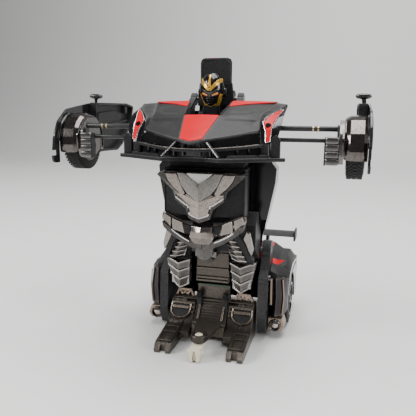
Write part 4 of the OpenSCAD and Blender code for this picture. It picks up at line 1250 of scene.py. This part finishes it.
    def thighs(self) -> Shape:
        """Five curved bands down a line that leans outwards: each one's upper edge stands proud."""
        bands = [bar([(15.2, 0.6, 79), (20.6, 4.0, 63)], 8.4, 5.0, BACK)]
        for i in range(5):
            upper = [(x, y - 2.0, z) for x, y, z in self._thigh_row(i)]
            lower = [(x, y - 1.8, z) for x, y, z in self._thigh_row(i + 1.06)]
            bands.append(skin(dense([upper, lower], 3), 3.6, BACK))
        return together(bands).both()

    def thigh_edge_highlights(self) -> Shape:
        """Brighter silver bars along the upper edge of each thigh band: painted highlight."""
        rows = [[(x, y - 2.2, z) for x, y, z in self._thigh_row(i)] for i in range(6)]
        return together([bar(row, 0.9, 1.0, BACK) for row in rows]).both()

    def struts(self) -> Shape:
        """Black struts outside the thighs, with their hinge knuckles."""
        strut = bar([(19.6, -3.5, 79.5), (24.6, -1.6, 72.5), (29.2, 1.6, 62.0)], 3.6, 4.2, BACK)
        line = bar([(21.8, -5.4, 78), (27.6, -2.0, 67.5)], 0.7, 0.7, BACK)
        knee = lathe([(24.6, 0), (24.6, 3.0), (31.0, 3.0), (31.0, 0)], (0, 4.4, 61.0), 28)
        return (strut + line + knee).both()

    def hip_plates(self) -> Shape:
        """Grey outer thigh plates, tapered upwards."""
        panel = plate([(24.4, 77.4), (26.8, 82.4), (28.8, 81.0), (31.4, 70.2), (30.6, 65.4), (28.8, 68)],
                      facing_front(1.5), 0, 3.6, 0.08)
        return panel.both()

    @staticmethod
    def _band(number: int) -> tuple[float, float, float, float]:
        """Height, depth and the two side places of a shin band's upper edge."""
        return 57.6 - 6.2 * number, 3.0 + 1.2 * number, 14.4 + 0.6 * number, 32.2 - 1.3 * number

    def shins(self) -> Shape:
        """Three chevron bands, each folded along a ridge down the shin, on a dark core."""
        shapes = []
        for i in range(3):
            z, y, x0, x1 = self._band(i)
            net = [[(x0, y + 3.4, z - 0.4), (22.0, y - 0.2, z - 2.4), (x1, y + 4.0, z + 1.0)],
                   [(x0 + 0.6, y + 4.0, z - 6.0), (22.2, y + 0.8, z - 8.0), (x1 - 1.0, y + 4.8, z - 4.8)]]
            shapes.append(skin(dense(net, 4), 5.6, BACK))
        return (together(shapes) + block((15.8, 8.6, 38.8), (28.6, 15.0, 57.6))).both()

    def shin_edge_highlights(self) -> Shape:
        """Brighter silver bars along the lower edge of each band: painted highlight."""
        shapes = []
        for i in range(4):
            z, y, x0, x1 = self._band(i)
            deep = 1.9 if i < 3 else 1.5
            shapes.append(bar([(x0 + 0.1, y + 3.2, z - 0.2), (22.0, y - 0.5, z - 2.3), (x1 - 0.2, y + 3.8, z + 1.0)],
                              1.3, deep, BACK))
        return together(shapes).both()

    def front_box(self) -> Shape:
        """Dark walls of the narrow front block: a face with side ribs, a shelf and a collar."""
        face = plate([(-26.8, 92.4), (26.8, 92.4), (27.2, 121.8), (-27.2, 121.8)], facing_front(-9.9), 0, 0.8, 0.01)
        rib = bar([(26.4, -10.9, 93), (26.8, -10.9, 121)], 0.8, 0.8, BACK)
        shelf = block((-27.0, -10.4, 122.0), (27.0, 4, 123.6))
        collar = plate([(-24, 123.6), (24, 123.6), (27.5, 129.4), (-27.5, 129.4)], facing_front(6), 0, 12)
        return face + rib.both() + shelf + collar

    def leg_plate(self) -> Shape:
        """The bronze plate between the legs: two lips and a screw boss."""
        sheet = plate(rounded([(-12.4, 40.0), (12.4, 40.0), (11.4, 61.4), (-11.4, 61.4)], 1), facing_front(16.8), 0,
                      2.4)
        lips = [bar([(-11.8, 13.8, z), (11.8, 13.8, z)], 1.6, 1.4, BACK) for z in (40.8, 43.2, 49.8)]
        boss = facing_lathe([(-2.2, 0), (-2.2, 2.2), (2.2, 2.2), (2.2, 0)], (-1.5, 13.2, 56.5), 24)
        return sheet + together(lips) + boss

    def cabin(self) -> Shape:
        """The cabin shell: side outline (y, z) rows carried across x, narrower at the top."""
        rows = [(64.5, 36.2, 31.6), (72, 38.4, 32.2), (86, 38.5, 36.6), (90, 38.5, 37.4), (112, 38.0, 41.7),
                (121.5, 35.9, 42.3), (127, 34.7, 38.2), (140, 31.9, 37.4), (152, 27.4, 36.6), (160, 24.0, 36.2)]
        shares = np.array([-1, -0.97, -0.86, -0.5, 0, 0.5, 0.86, 0.97, 1.0])
        drop = np.array([1, 0.35, 0.05, 0, 0, 0, 0.05, 0.35, 1.0])
        z = np.array([r[0] for r in rows])[:, None]
        y = np.array([r[1] for r in rows])[:, None] - drop * 3.0
        x = np.array([r[2] for r in rows])[:, None] * shares
        back = np.stack([x, y, z + 0 * x], -1)
        front = back.copy()
        front[..., 1] = np.where(z < 86, back[..., 1] - 2.4, 20.4)
        return Shape(np.vstack([back.reshape(-1, 3), front.reshape(-1, 3)]), skin(back, 0.0).faces)

    def cabin_windows(self) -> Shape:
        """Smoked glass set in the cabin: the windscreen and four roof vent strips."""
        top = [[(-30, 25.6, 158.6), (30, 25.6, 158.6)], [(-33, 35.4, 128.6), (33, 35.4, 128.6)]]
        screen = skin(dense(top, 6) + np.array([0, 0.25, 0]), 0.5, (0, -1, 0))
        strips = [block((-26, 38.3, 92 + 5 * i), (26, 38.9 - 0.02 * i, 94.6 + 5 * i)) for i in range(4)]
        return screen + together(strips)

    def build(self, shop: Workshop) -> None:
        """Makes the torso's pieces and dresses the CAD nodes that stay."""
        body, gun = self.body, Slot.GUNMETAL
        shop.piece("v_frame", self.frame_plate(), "dark_gunmetal", body, gun, ("v_armour",), bevel=0.5)
        shop.piece("v_wings", self.wings(), "champagne_glitter", body, gun, bevel=0.35)
        shop.piece("v_low_shield", self.low_shield(), "champagne_glitter", body, gun, bevel=0.2, smooth=8)
        shop.piece("v_inner", self.inner_v(), "gunmetal_glitter", body, gun, bevel=0.2, smooth=8)
        shop.piece("v_triangle", self.triangle(), "white_inlay", body, Slot.SILVER, bevel=0.25)
        shop.piece("v_bright_edges", self.bright_edges(), "edge_silver", body, Slot.SILVER, bevel=0.15)
        shop.piece("waist_wings", self.waist(), "bright_silver", body, Slot.SILVER, ("waist_shield",), bevel=0.3,
                   smooth=8)
        shop.piece("waist_eyes", self.waist_eyes(), "moulded_black", body, Slot.SATIN_BLACK, bevel=0.15)
        shop.piece("waist_centre", self.waist_shield(), "bright_silver", body, Slot.SILVER, bevel=0.4, smooth=12)
        shop.piece("waist_lines", self.waist_lines(), "edge_silver", body, Slot.SILVER, bevel=0.2)
        # waist_shadow: a dark plate that paints the shade below the waist wings.
        shop.piece("waist_shadow", self.waist_shadow(), "dark_gunmetal", body, gun, bevel=0.3)
        shop.piece("pelvis_wedge", self.pelvis(), "gunmetal_paint", body, gun, ("pelvis",), bevel=0.35, smooth=12)
        shop.piece("thigh_bands", self.thighs(), "shin_silver", body, Slot.SILVER, ("thighs",), bevel=0.25, smooth=25)
        # Brighter silver bars on the thigh bands' upper edges: painted highlight.
        shop.piece("thigh_edge_highlights", self.thigh_edge_highlights(), "bright_silver", body, Slot.SILVER, bevel=0.15)
        shop.piece("hip_struts", self.struts(), "moulded_black", body, Slot.SATIN_BLACK, bevel=0.3)
        shop.piece("hip_plates", self.hip_plates(), "bright_silver", body, Slot.SILVER, bevel=0.3)
        shop.piece("shin_bands", self.shins(), "shin_silver", body, gun, ("shins",), bevel=0.25, smooth=12)
        # Brighter silver bars on the shin bands' lower edges: painted highlight.
        shop.piece("shin_edge_highlights", self.shin_edge_highlights(), "bright_silver", body, Slot.SILVER, bevel=0.25)
        shop.piece("front_box", self.front_box(), "moulded_black", body, Slot.SATIN_BLACK, bevel=0.3)
        shop.piece("bronze_leg_plate", self.leg_plate(), "dark_bronze", body, Slot.BRONZE, ("leg_plate",), bevel=0.25)
        shop.piece("cabin_shell", self.cabin(), "piano_black", body, Slot.GLOSS_BLACK, ("back_shell",), bevel=0.3)
        shop.piece("cabin_windows", self.cabin_windows(), "smoked_glass", body, Slot.GLOSS_BLACK, bevel=0.15)
        shop.dress("torso_frame", "moulded_black")
        shop.dress("battery_cover", "moulded_black")
        shop.dress("battery_cells", "cell_sleeve")


# ---------------------------------------------------------------- feet
@dataclass
class Feet:
    """Foot block with toes, grips and ribs, and the caster in front of it."""

    body: str = "feet"
    caster_y: float = -20.0

    def soles(self) -> Shape:
        """Two feet: a side outline carried across the foot, with a notched toe."""
        side = [(-24, 0), (-25, 2.6), (-20.5, 6.2), (-6, 8.5), (3, 9.8), (6.6, 12), (15.6, 24.6), (24.8, 24.8),
                (24.8, 3), (20, 0)]
        middle = [(-21.0, 0), (-21.2, 5.0), (-19.6, 6.0), (-6, 8.2), (3, 9.5), (6.4, 11.6), (15.4, 24.2),
                  (24.6, 24.4), (24.6, 0)]
        foot = plate(side, facing_side(0), 19.2, 22.6) + plate(side, facing_side(0), 26.4, 30.4)
        inner = plate([(-4, 3), (-5, 8), (3, 9.5), (7, 12), (15, 23.2), (24.6, 23.2), (24.6, 3)], facing_side(0),
                      12.4, 19.4)
        heel = block((-12.6, 17, 3), (12.6, 24.6, 20))
        return (foot + plate(middle, facing_side(0), 22.4, 26.6) + inner).both() + heel

    def tread(self) -> Shape:
        """Raised frames on the toes, and the wide bands across the top of the slope."""
        shapes = [bar([(20.2, y, z), (29.6, y, z)], 0.9, 0.7) for y, z in ((-18.6, 7.1), (-7.6, 8.7), (-0.6, 9.6))]
        shapes += [bar([(x, -18.6, 7.1), (x, -7.6, 8.7), (x, -0.6, 9.6)], 0.8, 0.7) for x in (20.4, 29.4)]
        shapes += [bar([(x0, 9.4 + 2.0 * i, 17.4 + 2.75 * i), (x1, 9.4 + 2.0 * i, 17.4 + 2.75 * i)], 1.2, 1.1)
                   for i, (x0, x1) in enumerate(((12.6, 14.4), (12.6, 14.6), (12.6, 30.2)))]
        shapes += [bar([(12.4, 17.0 + 2.2 * i, 25.0), (30.2, 17.0 + 2.2 * i, 25.0)], 1.1, 0.8) for i in range(3)]
        shapes.append(bar([(19.4, -23.4, 4.0), (19.4, -20.6, 6.3), (19.4, -6, 8.8), (19.4, 3, 10.1),
                           (19.4, 6.4, 12.4)], 0.7, 0.7))
        shapes.append(bar([(30.2, -23.4, 4.0), (30.2, -20.6, 6.3), (30.2, -6, 8.8), (30.2, 3, 10.1),
                           (30.2, 6.4, 12.4), (30.2, 15.4, 24.8)], 0.7, 0.7))
        return together(shapes).both()

    def step(self) -> Shape:
        """The sloped step behind the pegs, with a lip along its top."""
        panel = plate([(-12.4, 24.6), (12.4, 24.6), (12.0, 35.8), (-12.0, 35.8)], facing_front(21.4), 0, 2.6, 0.02)
        lip = bar([(-12.2, 18.9, 35.4), (12.2, 18.9, 35.4)], 1.0, 1.2, BACK)
        return panel + lip

    def step_line(self) -> Shape:
        """The thin blue-green line along the step's top."""
        return bar([(-11.8, 18.5, 36.2), (11.8, 18.5, 36.2)], 0.6, 0.5, BACK)

    def _slope(self) -> Plane:
        """The plane of the sloping front above the toes."""
        return Plane((22.6, 11.0, 18.2), (1, 0, 0), (0, 0.58, 0.82))

    def rings(self) -> Shape:
        """D-shaped grip rings on the slope: a flat top joined to a half round below."""
        a = np.linspace(math.pi, 2 * math.pi, 15)
        path = [(-7.0, 4.2)] + [(7.0 * math.cos(t), -0.4 + 5.9 * math.sin(t)) for t in a] + [(7.0, 4.2), (-7.0, 4.2)]
        plane = self._slope()
        loop = [tuple(p) for p in plane.map(np.array(path), 0.9).tolist()]
        out = tuple(np.cross(np.array([1, 0, 0]), np.array([0, 0.58, 0.82])))
        grip = bar(loop, 1.3, 1.2, out, 8)
        cross = [tuple(p) for p in plane.map(np.array([(-5.8, 1.2), (5.8, 1.2)]), 1.2).tolist()]
        return (grip + bar(cross, 2.0, 1.7, out)).both()

    def wells(self) -> Shape:
        """The sunk dark field inside each ring."""
        return plate(rounded([(-6.2, -3.4), (-3.4, -5.6), (3.4, -5.6), (6.2, -3.4), (6.4, 3.8), (-6.4, 3.8)], 1),
                     self._slope(), -0.6, 0.5).both()

    def ribs(self) -> Shape:
        """The ribbed centre block, with its shelf and step."""
        base = plate([(1, 4), (2, 11), (7, 14), (15.6, 23.4), (16.8, 23.4), (16.8, 4)], facing_side(0), -11.8, 11.8)
        lines = [bar([(-7.2, 8.0 + 1.5 * i, 15.3 + 1.62 * i), (7.2, 8.0 + 1.5 * i, 15.3 + 1.62 * i)], 0.8, 0.9)
                 for i in range(6)]
        shelf = block((-12, 3.5, 10.6), (12, 9, 13.2))
        step = block((-11.6, 16.9, 20), (11.6, 24.4, 25.6))
        return base + together(lines) + shelf + step

    def rails(self) -> Shape:
        """Light rails down both sides of the ribbed block."""
        return bar([(8.6, 6.0, 14.2), (9.0, 15.6, 25.0)], 1.5, 1.2, (0, -1, 1)).both()

    def bosses(self) -> Shape:
        """Two upright black pegs behind the block, with rounded tops."""
        peg = pebble((9.6, 14.4, 29.6), (4.4, 4.6, 5.4), 0.8)
        post = plate(rounded([(7.9, 12.6), (11.3, 12.6), (11.3, 16.4), (7.9, 16.4)], 0.8), facing_up(0), 19, 29.4)
        return (peg + post).both()

    def lamps(self) -> Shape:
        """The two tan pieces above the feet: a frame cut into an arch and two legs."""
        shapes = [bar([(15.6, 20.2, 25.2), (17.4, 20.2, 30.2), (20.4, 20.2, 26.6)], 2.2, 2.0, BACK),
                  bar([(23.6, 20.2, 26.6), (26.6, 20.2, 30.2), (28.6, 20.2, 25.2)], 2.2, 2.0, BACK),
                  bar([(17.2, 20.4, 30.0), (27.0, 20.4, 30.0)], 2.0, 1.4, BACK),
                  bar([(20.2, 20.2, 27.0), (22.0, 20.0, 28.4), (23.8, 20.2, 27.0)], 1.6, 1.4, BACK)]
        return together(shapes).both()

    def caster_arm(self) -> Shape:
        """The arm and the cup that the caster turns in."""
        cup = [(0, 4.8), (1.0, 5.5), (4.6, 5.5), (5.2, 5.0), (5.2, 3.5), (3.8, 3.2), (3.8, 0), (0, 0)]
        upright = standing(cup, (0, self.caster_y, 10.2), 40)
        web = plate([(-5.4, -20), (5.4, -20), (8.6, 3.6), (-8.6, 3.6)], facing_up(0), 10.4, 13.6)
        return upright + web

    def fork(self) -> Shape:
        """The cream fork: a crown disc, two cheeks with an arch between, and axle nubs."""
        crown = standing([(8.5, 0), (8.5, 4.4), (9.7, 4.4), (9.7, 0)], (0, self.caster_y, 0), 32)
        leg = plate(rounded([(-3.9, 9.2), (-0.5, 9.2), (-0.6, 6.8), (-1.1, 4.2), (-1.3, 0.8), (-3.3, 0.8),
                             (-3.9, 5.2)], 0.5),
                    facing_front(-22.6), 0, 9.0)
        nub = lathe([(3.5, 0), (3.5, 1.1), (5.3, 1.1), (5.3, 0)], (0, -29.0, 7.0), 20)
        top = standing([(9.6, 0), (9.6, 2.7), (14.6, 2.7), (15.1, 2.2), (15.1, 0)], (0, self.caster_y, 0), 28)
        return crown + top + (leg + nub).both() + block((-3.4, -31.4, 7.8), (3.4, -20, 9.3))

    def roller(self) -> Shape:
        """The small caster wheel."""
        return lathe([(-0.4, 0.85), (-0.4, 4.3), (-0.2, 4.5), (0.2, 4.5), (0.4, 4.3), (0.4, 0.85)], (0, -27, 4.5), 36)

    def build(self, shop: Workshop) -> None:
        """Makes the feet's pieces."""
        feet, bronze = self.body, Slot.BRONZE
        shop.piece("foot_soles", self.soles(), "dark_bronze", feet, bronze, ("foot_block",), bevel=0.35)
        shop.piece("foot_tread", self.tread(), "dark_bronze", feet, bronze, bevel=0.2)
        shop.piece("foot_step", self.step(), "dark_bronze", feet, bronze, bevel=0.25)
        shop.piece("foot_step_line", self.step_line(), "solder_mask", feet, bronze, bevel=0.1)
        shop.piece("foot_rings", self.rings(), "grip_bronze", feet, bronze, bevel=0.2)
        shop.piece("foot_wells", self.wells(), "moulded_black", feet, Slot.SATIN_BLACK, bevel=0.2)
        shop.piece("rib_block", self.ribs(), "dark_bronze", feet, bronze, ("foot_ribs",), bevel=0.25)
        shop.piece("rib_rails", self.rails(), "grip_bronze", feet, bronze, bevel=0.2)
        shop.piece("foot_pegs", self.bosses(), "moulded_black", feet, Slot.SATIN_BLACK, bevel=0.0)
        shop.piece("foot_lamps", self.lamps(), "tan_plate", feet, bronze, bevel=0.3)
        shop.piece("caster_arm", self.caster_arm(), "dark_bronze", feet, bronze, bevel=0.3)
        shop.piece("caster_fork_cream", self.fork(), "cream_nylon", "caster", Slot.CREAM, ("caster_fork",),
                   bevel=0.25)
        shop.piece("caster_roller_cream", self.roller(), "cream_nylon", "caster_roller", Slot.CREAM,
                   ("caster_wheel",), bevel=0.15)
        shop.dress("caster_pin", "turned_steel")


# ---------------------------------------------------------------- base
@dataclass
class Base:
    """Side pods, the car's tail with its spoiler, and the lamps low at the sides."""

    body: str = "base"
    wheel_x: float = 40.8
    wheel_y: float = 55.0
    wheel_z: float = 18.5
    rear_y: float = 95.1
    lamp_centre: Point = (44.6, 20.6, 10)

    def tail(self) -> Shape:
        """The tail shell: rows along Y of a cross outline that wraps deck, shoulder and side."""
        stations = [(36.5, 45.2, 0.0), (42, 52.6, 0.4), (55, 57.0, 1.0), (75, 57.2, 1.0), (90, 51.2, 0.9),
                    (94.6, 44, 0.6)]
        rows = []
        for y, top, swell in stations:
            rows.append([(30.0, y, top + 0.6 * swell), (36.0, y, top + 0.2 * swell),
                         (43.0, y, top - 2.2 - 2.2 * swell), (48.6, y, top - 4.6), (52.2, y, min(top - 9.0, 46)),
                         (52.5, y, min(top - 14, 39.6))])
        sides = skin(dense(rows, 5, 0.3), 1.4, (-0.5, 0, -0.85)).both()
        deck = [[(-30.2, y, top + 0.5), (0, y, top + 0.9), (30.2, y, top + 0.5)] for y, top, _ in stations[1:]]
        return sides + skin(dense(deck, 5, 0.2), 1.3)

    def tail_walls(self) -> Shape:
        """The rear wall, the diffuser fins, and the skirts with their lips round the wheels."""
        wall = plate([(-46, 12), (46, 12), (52.2, 22), (52.2, 42), (30, 50.4), (-30, 50.4), (-52.2, 42), (-52.2, 22)],
                     facing_front(94.9), -0.3, 1.9)
        arch = arc(self.wheel_y, self.wheel_z, 20.4, 24, 160, 26)
        skirt = plate([(94.6, 14), (94.6, 40), (75, 44), (55, 46), (36.5, 41.6), (34.4, 30)] + arch[::-1]
                      + [(80, 12), (90, 11)], facing_side(0), 51.0, 52.4)
        lip = lathe([(51.2, 20.4), (51.2, 21.4), (52.45, 21.2), (52.45, 20.4)], (0, self.wheel_y, self.wheel_z), 40,
                    20, 136)
        fins = [plate([(84, 8.4), (94.8, 9.0), (94.8, 13.4), (84, 13)], facing_side(0), x - 0.7, x + 0.7)
                for x in (8, 18, 28)]
        return wall + (skirt + lip + together(fins)).both()

    def tail_lamps(self) -> Shape:
        """Y-shaped red tail lamps."""
        y = self.rear_y
        lamp = (bar([(26, y, 38), (36, y, 39.4), (45, y - 0.1, 43)], 1.4, 1.6, BACK)
                + bar([(36, y, 39.4), (45, y, 35.6)], 1.4, 1.6, BACK))
        return lamp.both()

    def shoulder_stripes(self) -> Shape:
        """The red stripe on each shoulder beside the engine deck."""
        net = [[(30.8, 44.8, 54.9), (31.2, 38.6, 50.6)], [(36.0, 43.2, 53.9), (37.4, 38.4, 49.4)],
               [(42.6, 43.8, 51.6), (43.2, 40.6, 48.9)], [(46.8, 47.6, 50.6), (47.0, 45.8, 49.4)]]
        top = [[(30.8, 44.0, 54.6), (33.4, 43.4, 54.4)], [(33.0, 56, 58.3), (36.8, 54.6, 57.8)],
               [(34.4, 70, 58.4), (37.0, 70, 58.2)]]
        return (skin(dense(net, 3), 0.5) + skin(dense(top, 4), 0.5)).both()

    def louvres(self) -> Shape:
        """Engine deck louvres between the shoulders."""
        rows = [bar([(-22, y, z), (22, y, z)], 3.2, 1.0) for y, z in ((50, 56.6), (56, 58.2), (62, 58.4), (68, 58.4),
                                                                      (74, 58.3))]
        spine = bar([(0, 46, 55.4), (0, 58, 58.9), (0, 78, 58.4)], 4, 0.9)
        return together(rows) + spine

    def spoiler(self) -> Shape:
        """A wide wing with a curved section, end plates and two stays."""
        s = np.linspace(0, 1, 9)
        upper = [(79.8 + 15 * t, 61.0 + 1.9 * math.sin(math.pi * t * 0.7) + 0.3 * t) for t in s]
        lower = [(79.8 + 15 * t, 60.6 + 1.2 * math.sin(math.pi * t * 0.7) - 0.2 * t) for t in s[::-1]]
        wing = plate(upper + lower, facing_side(0), -50.2, 50.2)
        end = plate(rounded([(78.6, 57.4), (79.4, 65.2), (95.1, 65.8), (95.1, 57.0)], 1.4), facing_side(0), 50.0,
                    51.4)
        stay = plate([(82.4, 53.4), (90.4, 50.8), (91.4, 61.2), (84.4, 61.4)], facing_side(0), 27.2, 29.4)
        return wing + (end + stay).both()

    def liners(self) -> Shape:
        """Smoked liners ahead of the rear wheels: an upright outline folded in three faces."""
        net = [[(39.4, 24.4, 45.8), (44.2, 21.8, 45.0), (48.6, 24.2, 44.2), (51.8, 31, 42.0)],
               [(39.4, 24.4, 30.0), (44.8, 21.8, 30.0), (50.2, 24.0, 30.0), (52.3, 31, 30.0)],
               [(39.4, 24.4, 15.2), (44.0, 21.8, 15.2), (49.4, 24.2, 15.4), (51.9, 31, 17.6)]]
        return skin(dense(net, 5, 0.25), 3.0, BACK).both()

    def liner_highlight_strips(self) -> Shape:
        """Bright tan uprights on the smoked liners: painted highlights."""
        return (bar([(41.0, 22.6, 43.6), (41.2, 22.4, 24.0)], 1.5, 1.0, BACK)
                + bar([(49.2, 22.6, 43.0), (50.2, 22.8, 30), (49.2, 22.9, 17)], 0.8, 0.8, BACK)).both()

    def shoulders(self) -> Shape:
        """Caps over the liners, where the tail's nose wraps down to them."""
        net = [[(39.5, 34, 52.0), (46.0, 36, 49.6), (52.0, 40, 45.4)],
               [(39.5, 24.6, 48.6), (45.0, 23.0, 47.0), (51.6, 31.6, 43.2)],
               [(39.5, 23.8, 45.4), (44.8, 21.6, 44.4), (52.0, 30.8, 40.6)]]
        return skin(dense(net, 5, 0.3), 1.6, (-0.1, 0.7, -0.5)).both()

    def lamp_boxes(self) -> Shape:
        """Chrome lamp boxes: a slanted block on each side."""
        box = plate([(39.3, 5.2), (49.4, 5.2), (51.6, 9.0), (49.6, 14.8), (39.3, 14.8)], facing_front(33), 0, 12.6,
                    0.03)
        return box.both()

    def lamp_rings(self) -> Shape:
        """The raised rings of the lamps."""
        return facing_lathe([(0, 4.4), (1.4, 4.3), (2.0, 3.7), (1.4, 3.1), (0, 3.0)], self.lamp_centre, 36).both()

    def lamp_glass(self) -> Shape:
        """The domed lenses inside the rings."""
        return facing_lathe([(0, 0), (0, 2.9), (0.8, 2.6), (1.3, 1.6), (1.5, 0)], self.lamp_centre, 36).both()

    def side_pods(self) -> Shape:
        """Upright side walls beside the feet, with a sunk field, a rib and a front plate."""
        field_ = plate(rounded([(13, 20), (15, 44.4), (27, 48.4), (30, 40), (30, 22)], 2), facing_side(0), 38.4,
                       39.2, 0.04)
        rib = bar([(38.9, 16, 22), (38.9, 17.6, 43)], 0.8, 1.2, (1, 0, 0))
        front = plate(rounded([(33.2, 18.6), (38.8, 18.6), (38.4, 45), (33.2, 45.6)], 1), facing_front(14.2), 0, 1.4)
        return (field_ + rib + front).both()

    def build(self, shop: Workshop) -> None:
        """Makes the base's pieces and dresses the CAD nodes that stay."""
        base, black = self.body, Slot.GLOSS_BLACK
        shop.piece("tail_shell", self.tail(), "hood_black", base, black, ("rear_body",), bevel=0.2)
        shop.piece("tail_walls", self.tail_walls(), "piano_black", base, black, bevel=0.25)
        shop.piece("tail_lamps", self.tail_lamps(), "tail_red", base, Slot.RED, bevel=0.2)
        shop.piece("shoulder_stripes", self.shoulder_stripes(), "lacquer_red", base, Slot.RED, bevel=0.1)
        shop.piece("deck_louvres", self.louvres(), "piano_black", base, black, bevel=0.25)
        shop.piece("spoiler_wing", self.spoiler(), "hood_black", base, black, ("spoiler",), bevel=0.25)
        shop.piece("liner_glass", self.liners(), "smoke_chrome", base, Slot.SMOKE, ("rear_liners",), bevel=0.3,
                   smooth=12)
        # Tan uprights on the smoke-chrome liners: painted highlights.
        shop.piece("liner_highlight_strips", self.liner_highlight_strips(), "tan_plate", base, Slot.SMOKE, bevel=0.2)
        shop.piece("liner_caps", self.shoulders(), "hood_black", base, black, bevel=0.25)
        shop.piece("lamp_boxes", self.lamp_boxes(), "tan_plate", base, Slot.CHROME, ("lower_lamps",), bevel=0.5)
        shop.piece("lamp_rings", self.lamp_rings(), "gunmetal_paint", base, Slot.CHROME, bevel=0.1)
        shop.piece("lamp_glass", self.lamp_glass(), "bright_chrome", base, Slot.CHROME, bevel=0.1)
        shop.piece("pod_fields", self.side_pods(), "piano_black", base, Slot.SATIN_BLACK, bevel=0.3)
        for node in ("chassis_frame", "left_side_pod", "right_side_pod"):
            shop.dress(node, "moulded_black")
        for node in ("rear_axles", "drive_motor", "fold_hinge_pin", "chassis_screws"):
            shop.dress(node, "turned_steel")
        shop.dress("circuit_board", "solder_mask")


# ---------------------------------------------------------------- studio
@dataclass
class Studio:
    """Camera, lights and floor. None of them is part of the object.

    Angles are in degrees. A lamp is its name, place, target, size and power, in metres and watts.
    """

    eye: Point = (85.4, -316.9, 157.0)
    azimuth: float = 15.09
    pitch: float = 10.52
    roll: float = 0.55
    lens: float = 43.27
    air: tuple[float, float, float, float] = (0.95, 0.95, 0.97, 1)
    air_strength: float = 0.16
    lamps = (("overhead", (0.1, 0.0, 1.1), (0, 0.05, 0.1), 0.8, 19),
             ("window", (-1.0, -0.7, 0.8), (0, 0, 0.1), 0.5, 17),
             ("side", (1.0, -0.3, 0.5), (0, 0, 0.08), 0.35, 6),
             ("wall", (0.3, 1.0, 1.4), (0, 1.9, 0.5), 0.8, 14))

    def camera(self, shop: Workshop) -> None:
        """A camera at eye height in front and to the right, tilted down by pitch."""
        data = bpy.data.cameras.new("camera")
        data.lens = self.lens
        data.sensor_width = 36.0
        data.clip_start = 0.01
        camera = bpy.data.objects.new("camera", data)
        turn = (Matrix.Rotation(math.radians(self.azimuth), 4, "Z")
                @ Matrix.Rotation(math.radians(90 - self.pitch), 4, "X")
                @ Matrix.Rotation(math.radians(self.roll), 4, "Z"))
        camera.matrix_world = Matrix.Translation(Vector(shop.place(np.array(self.eye)))) @ turn
        bpy.context.scene.collection.objects.link(camera)
        bpy.context.scene.camera = camera

    def lamp(self, name: str, at: Point, towards: Point, size: float, power: float) -> None:
        """A soft square light at a place, turned towards a point, all in metres."""
        data = bpy.data.lights.new(name, "AREA")
        data.size = size
        data.energy = power
        lamp = bpy.data.objects.new(name, data)
        lamp.location = at
        lamp.rotation_euler = (Vector(towards) - Vector(at)).to_track_quat("-Z", "Y").to_euler()
        bpy.context.scene.collection.objects.link(lamp)

    def floor(self, shop: Workshop) -> None:
        """A pale floor that curves up into a wall far behind: a profile carried across X."""
        s = np.linspace(0, math.pi / 2, 17)
        profile = [(-2.0, 0.0)] + [(1.2 + 0.8 * math.sin(t), 0.8 - 0.8 * math.cos(t)) for t in s] + [(2.0, 3.0)]
        x = np.array([-4.0, 4.0])
        grid = np.array([[(xx, y, z) for xx in x] for y, z in profile])
        mesh = bpy.data.meshes.new("floor")
        mesh.from_pydata(grid.reshape(-1, 3).tolist(), [], grid_quads(len(profile), 2).tolist())
        mesh.polygons.foreach_set("use_smooth", np.ones(len(mesh.polygons), bool))
        floor = bpy.data.objects.new("floor", mesh)
        mesh.materials.append(shop.materials["studio_floor"])
        bpy.context.scene.collection.objects.link(floor)

    def build(self, shop: Workshop) -> None:
        """Sets the whole studio up."""
        self.camera(shop)
        self.floor(shop)
        world = bpy.data.worlds.new("studio")
        world.use_nodes = True
        sky = world.node_tree.nodes["Background"]
        sky.inputs["Color"].default_value = self.air
        sky.inputs["Strength"].default_value = self.air_strength
        bpy.context.scene.world = world
        for name, at, towards, size, power in self.lamps:
            self.lamp(name, at, towards, size, power)


def main() -> None:
    """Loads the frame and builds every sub-assembly."""
    logging.basicConfig(level=logging.INFO, format="%(message)s")
    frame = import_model()
    shop = Workshop(frame)
    Studio().build(shop)
    Chest().build(shop)
    Head().build(shop)
    Torso().build(shop)
    Feet().build(shop)
    Base().build(shop)
    for side, rod_y in ((1, RIGHT_ROD_Y), (-1, LEFT_ROD_Y)):
        arm = Arm(side, rod_y)
        arm.build(shop)
        for end, part in (("front_", arm), ("rear_", Base())):
            centre = (part.wheel_x * side, part.wheel_y, part.wheel_z)
            Wheel(end + arm.name, f"{end}{arm.name}_wheel", centre, side).build(shop)


if __name__ == "__main__":
    main()
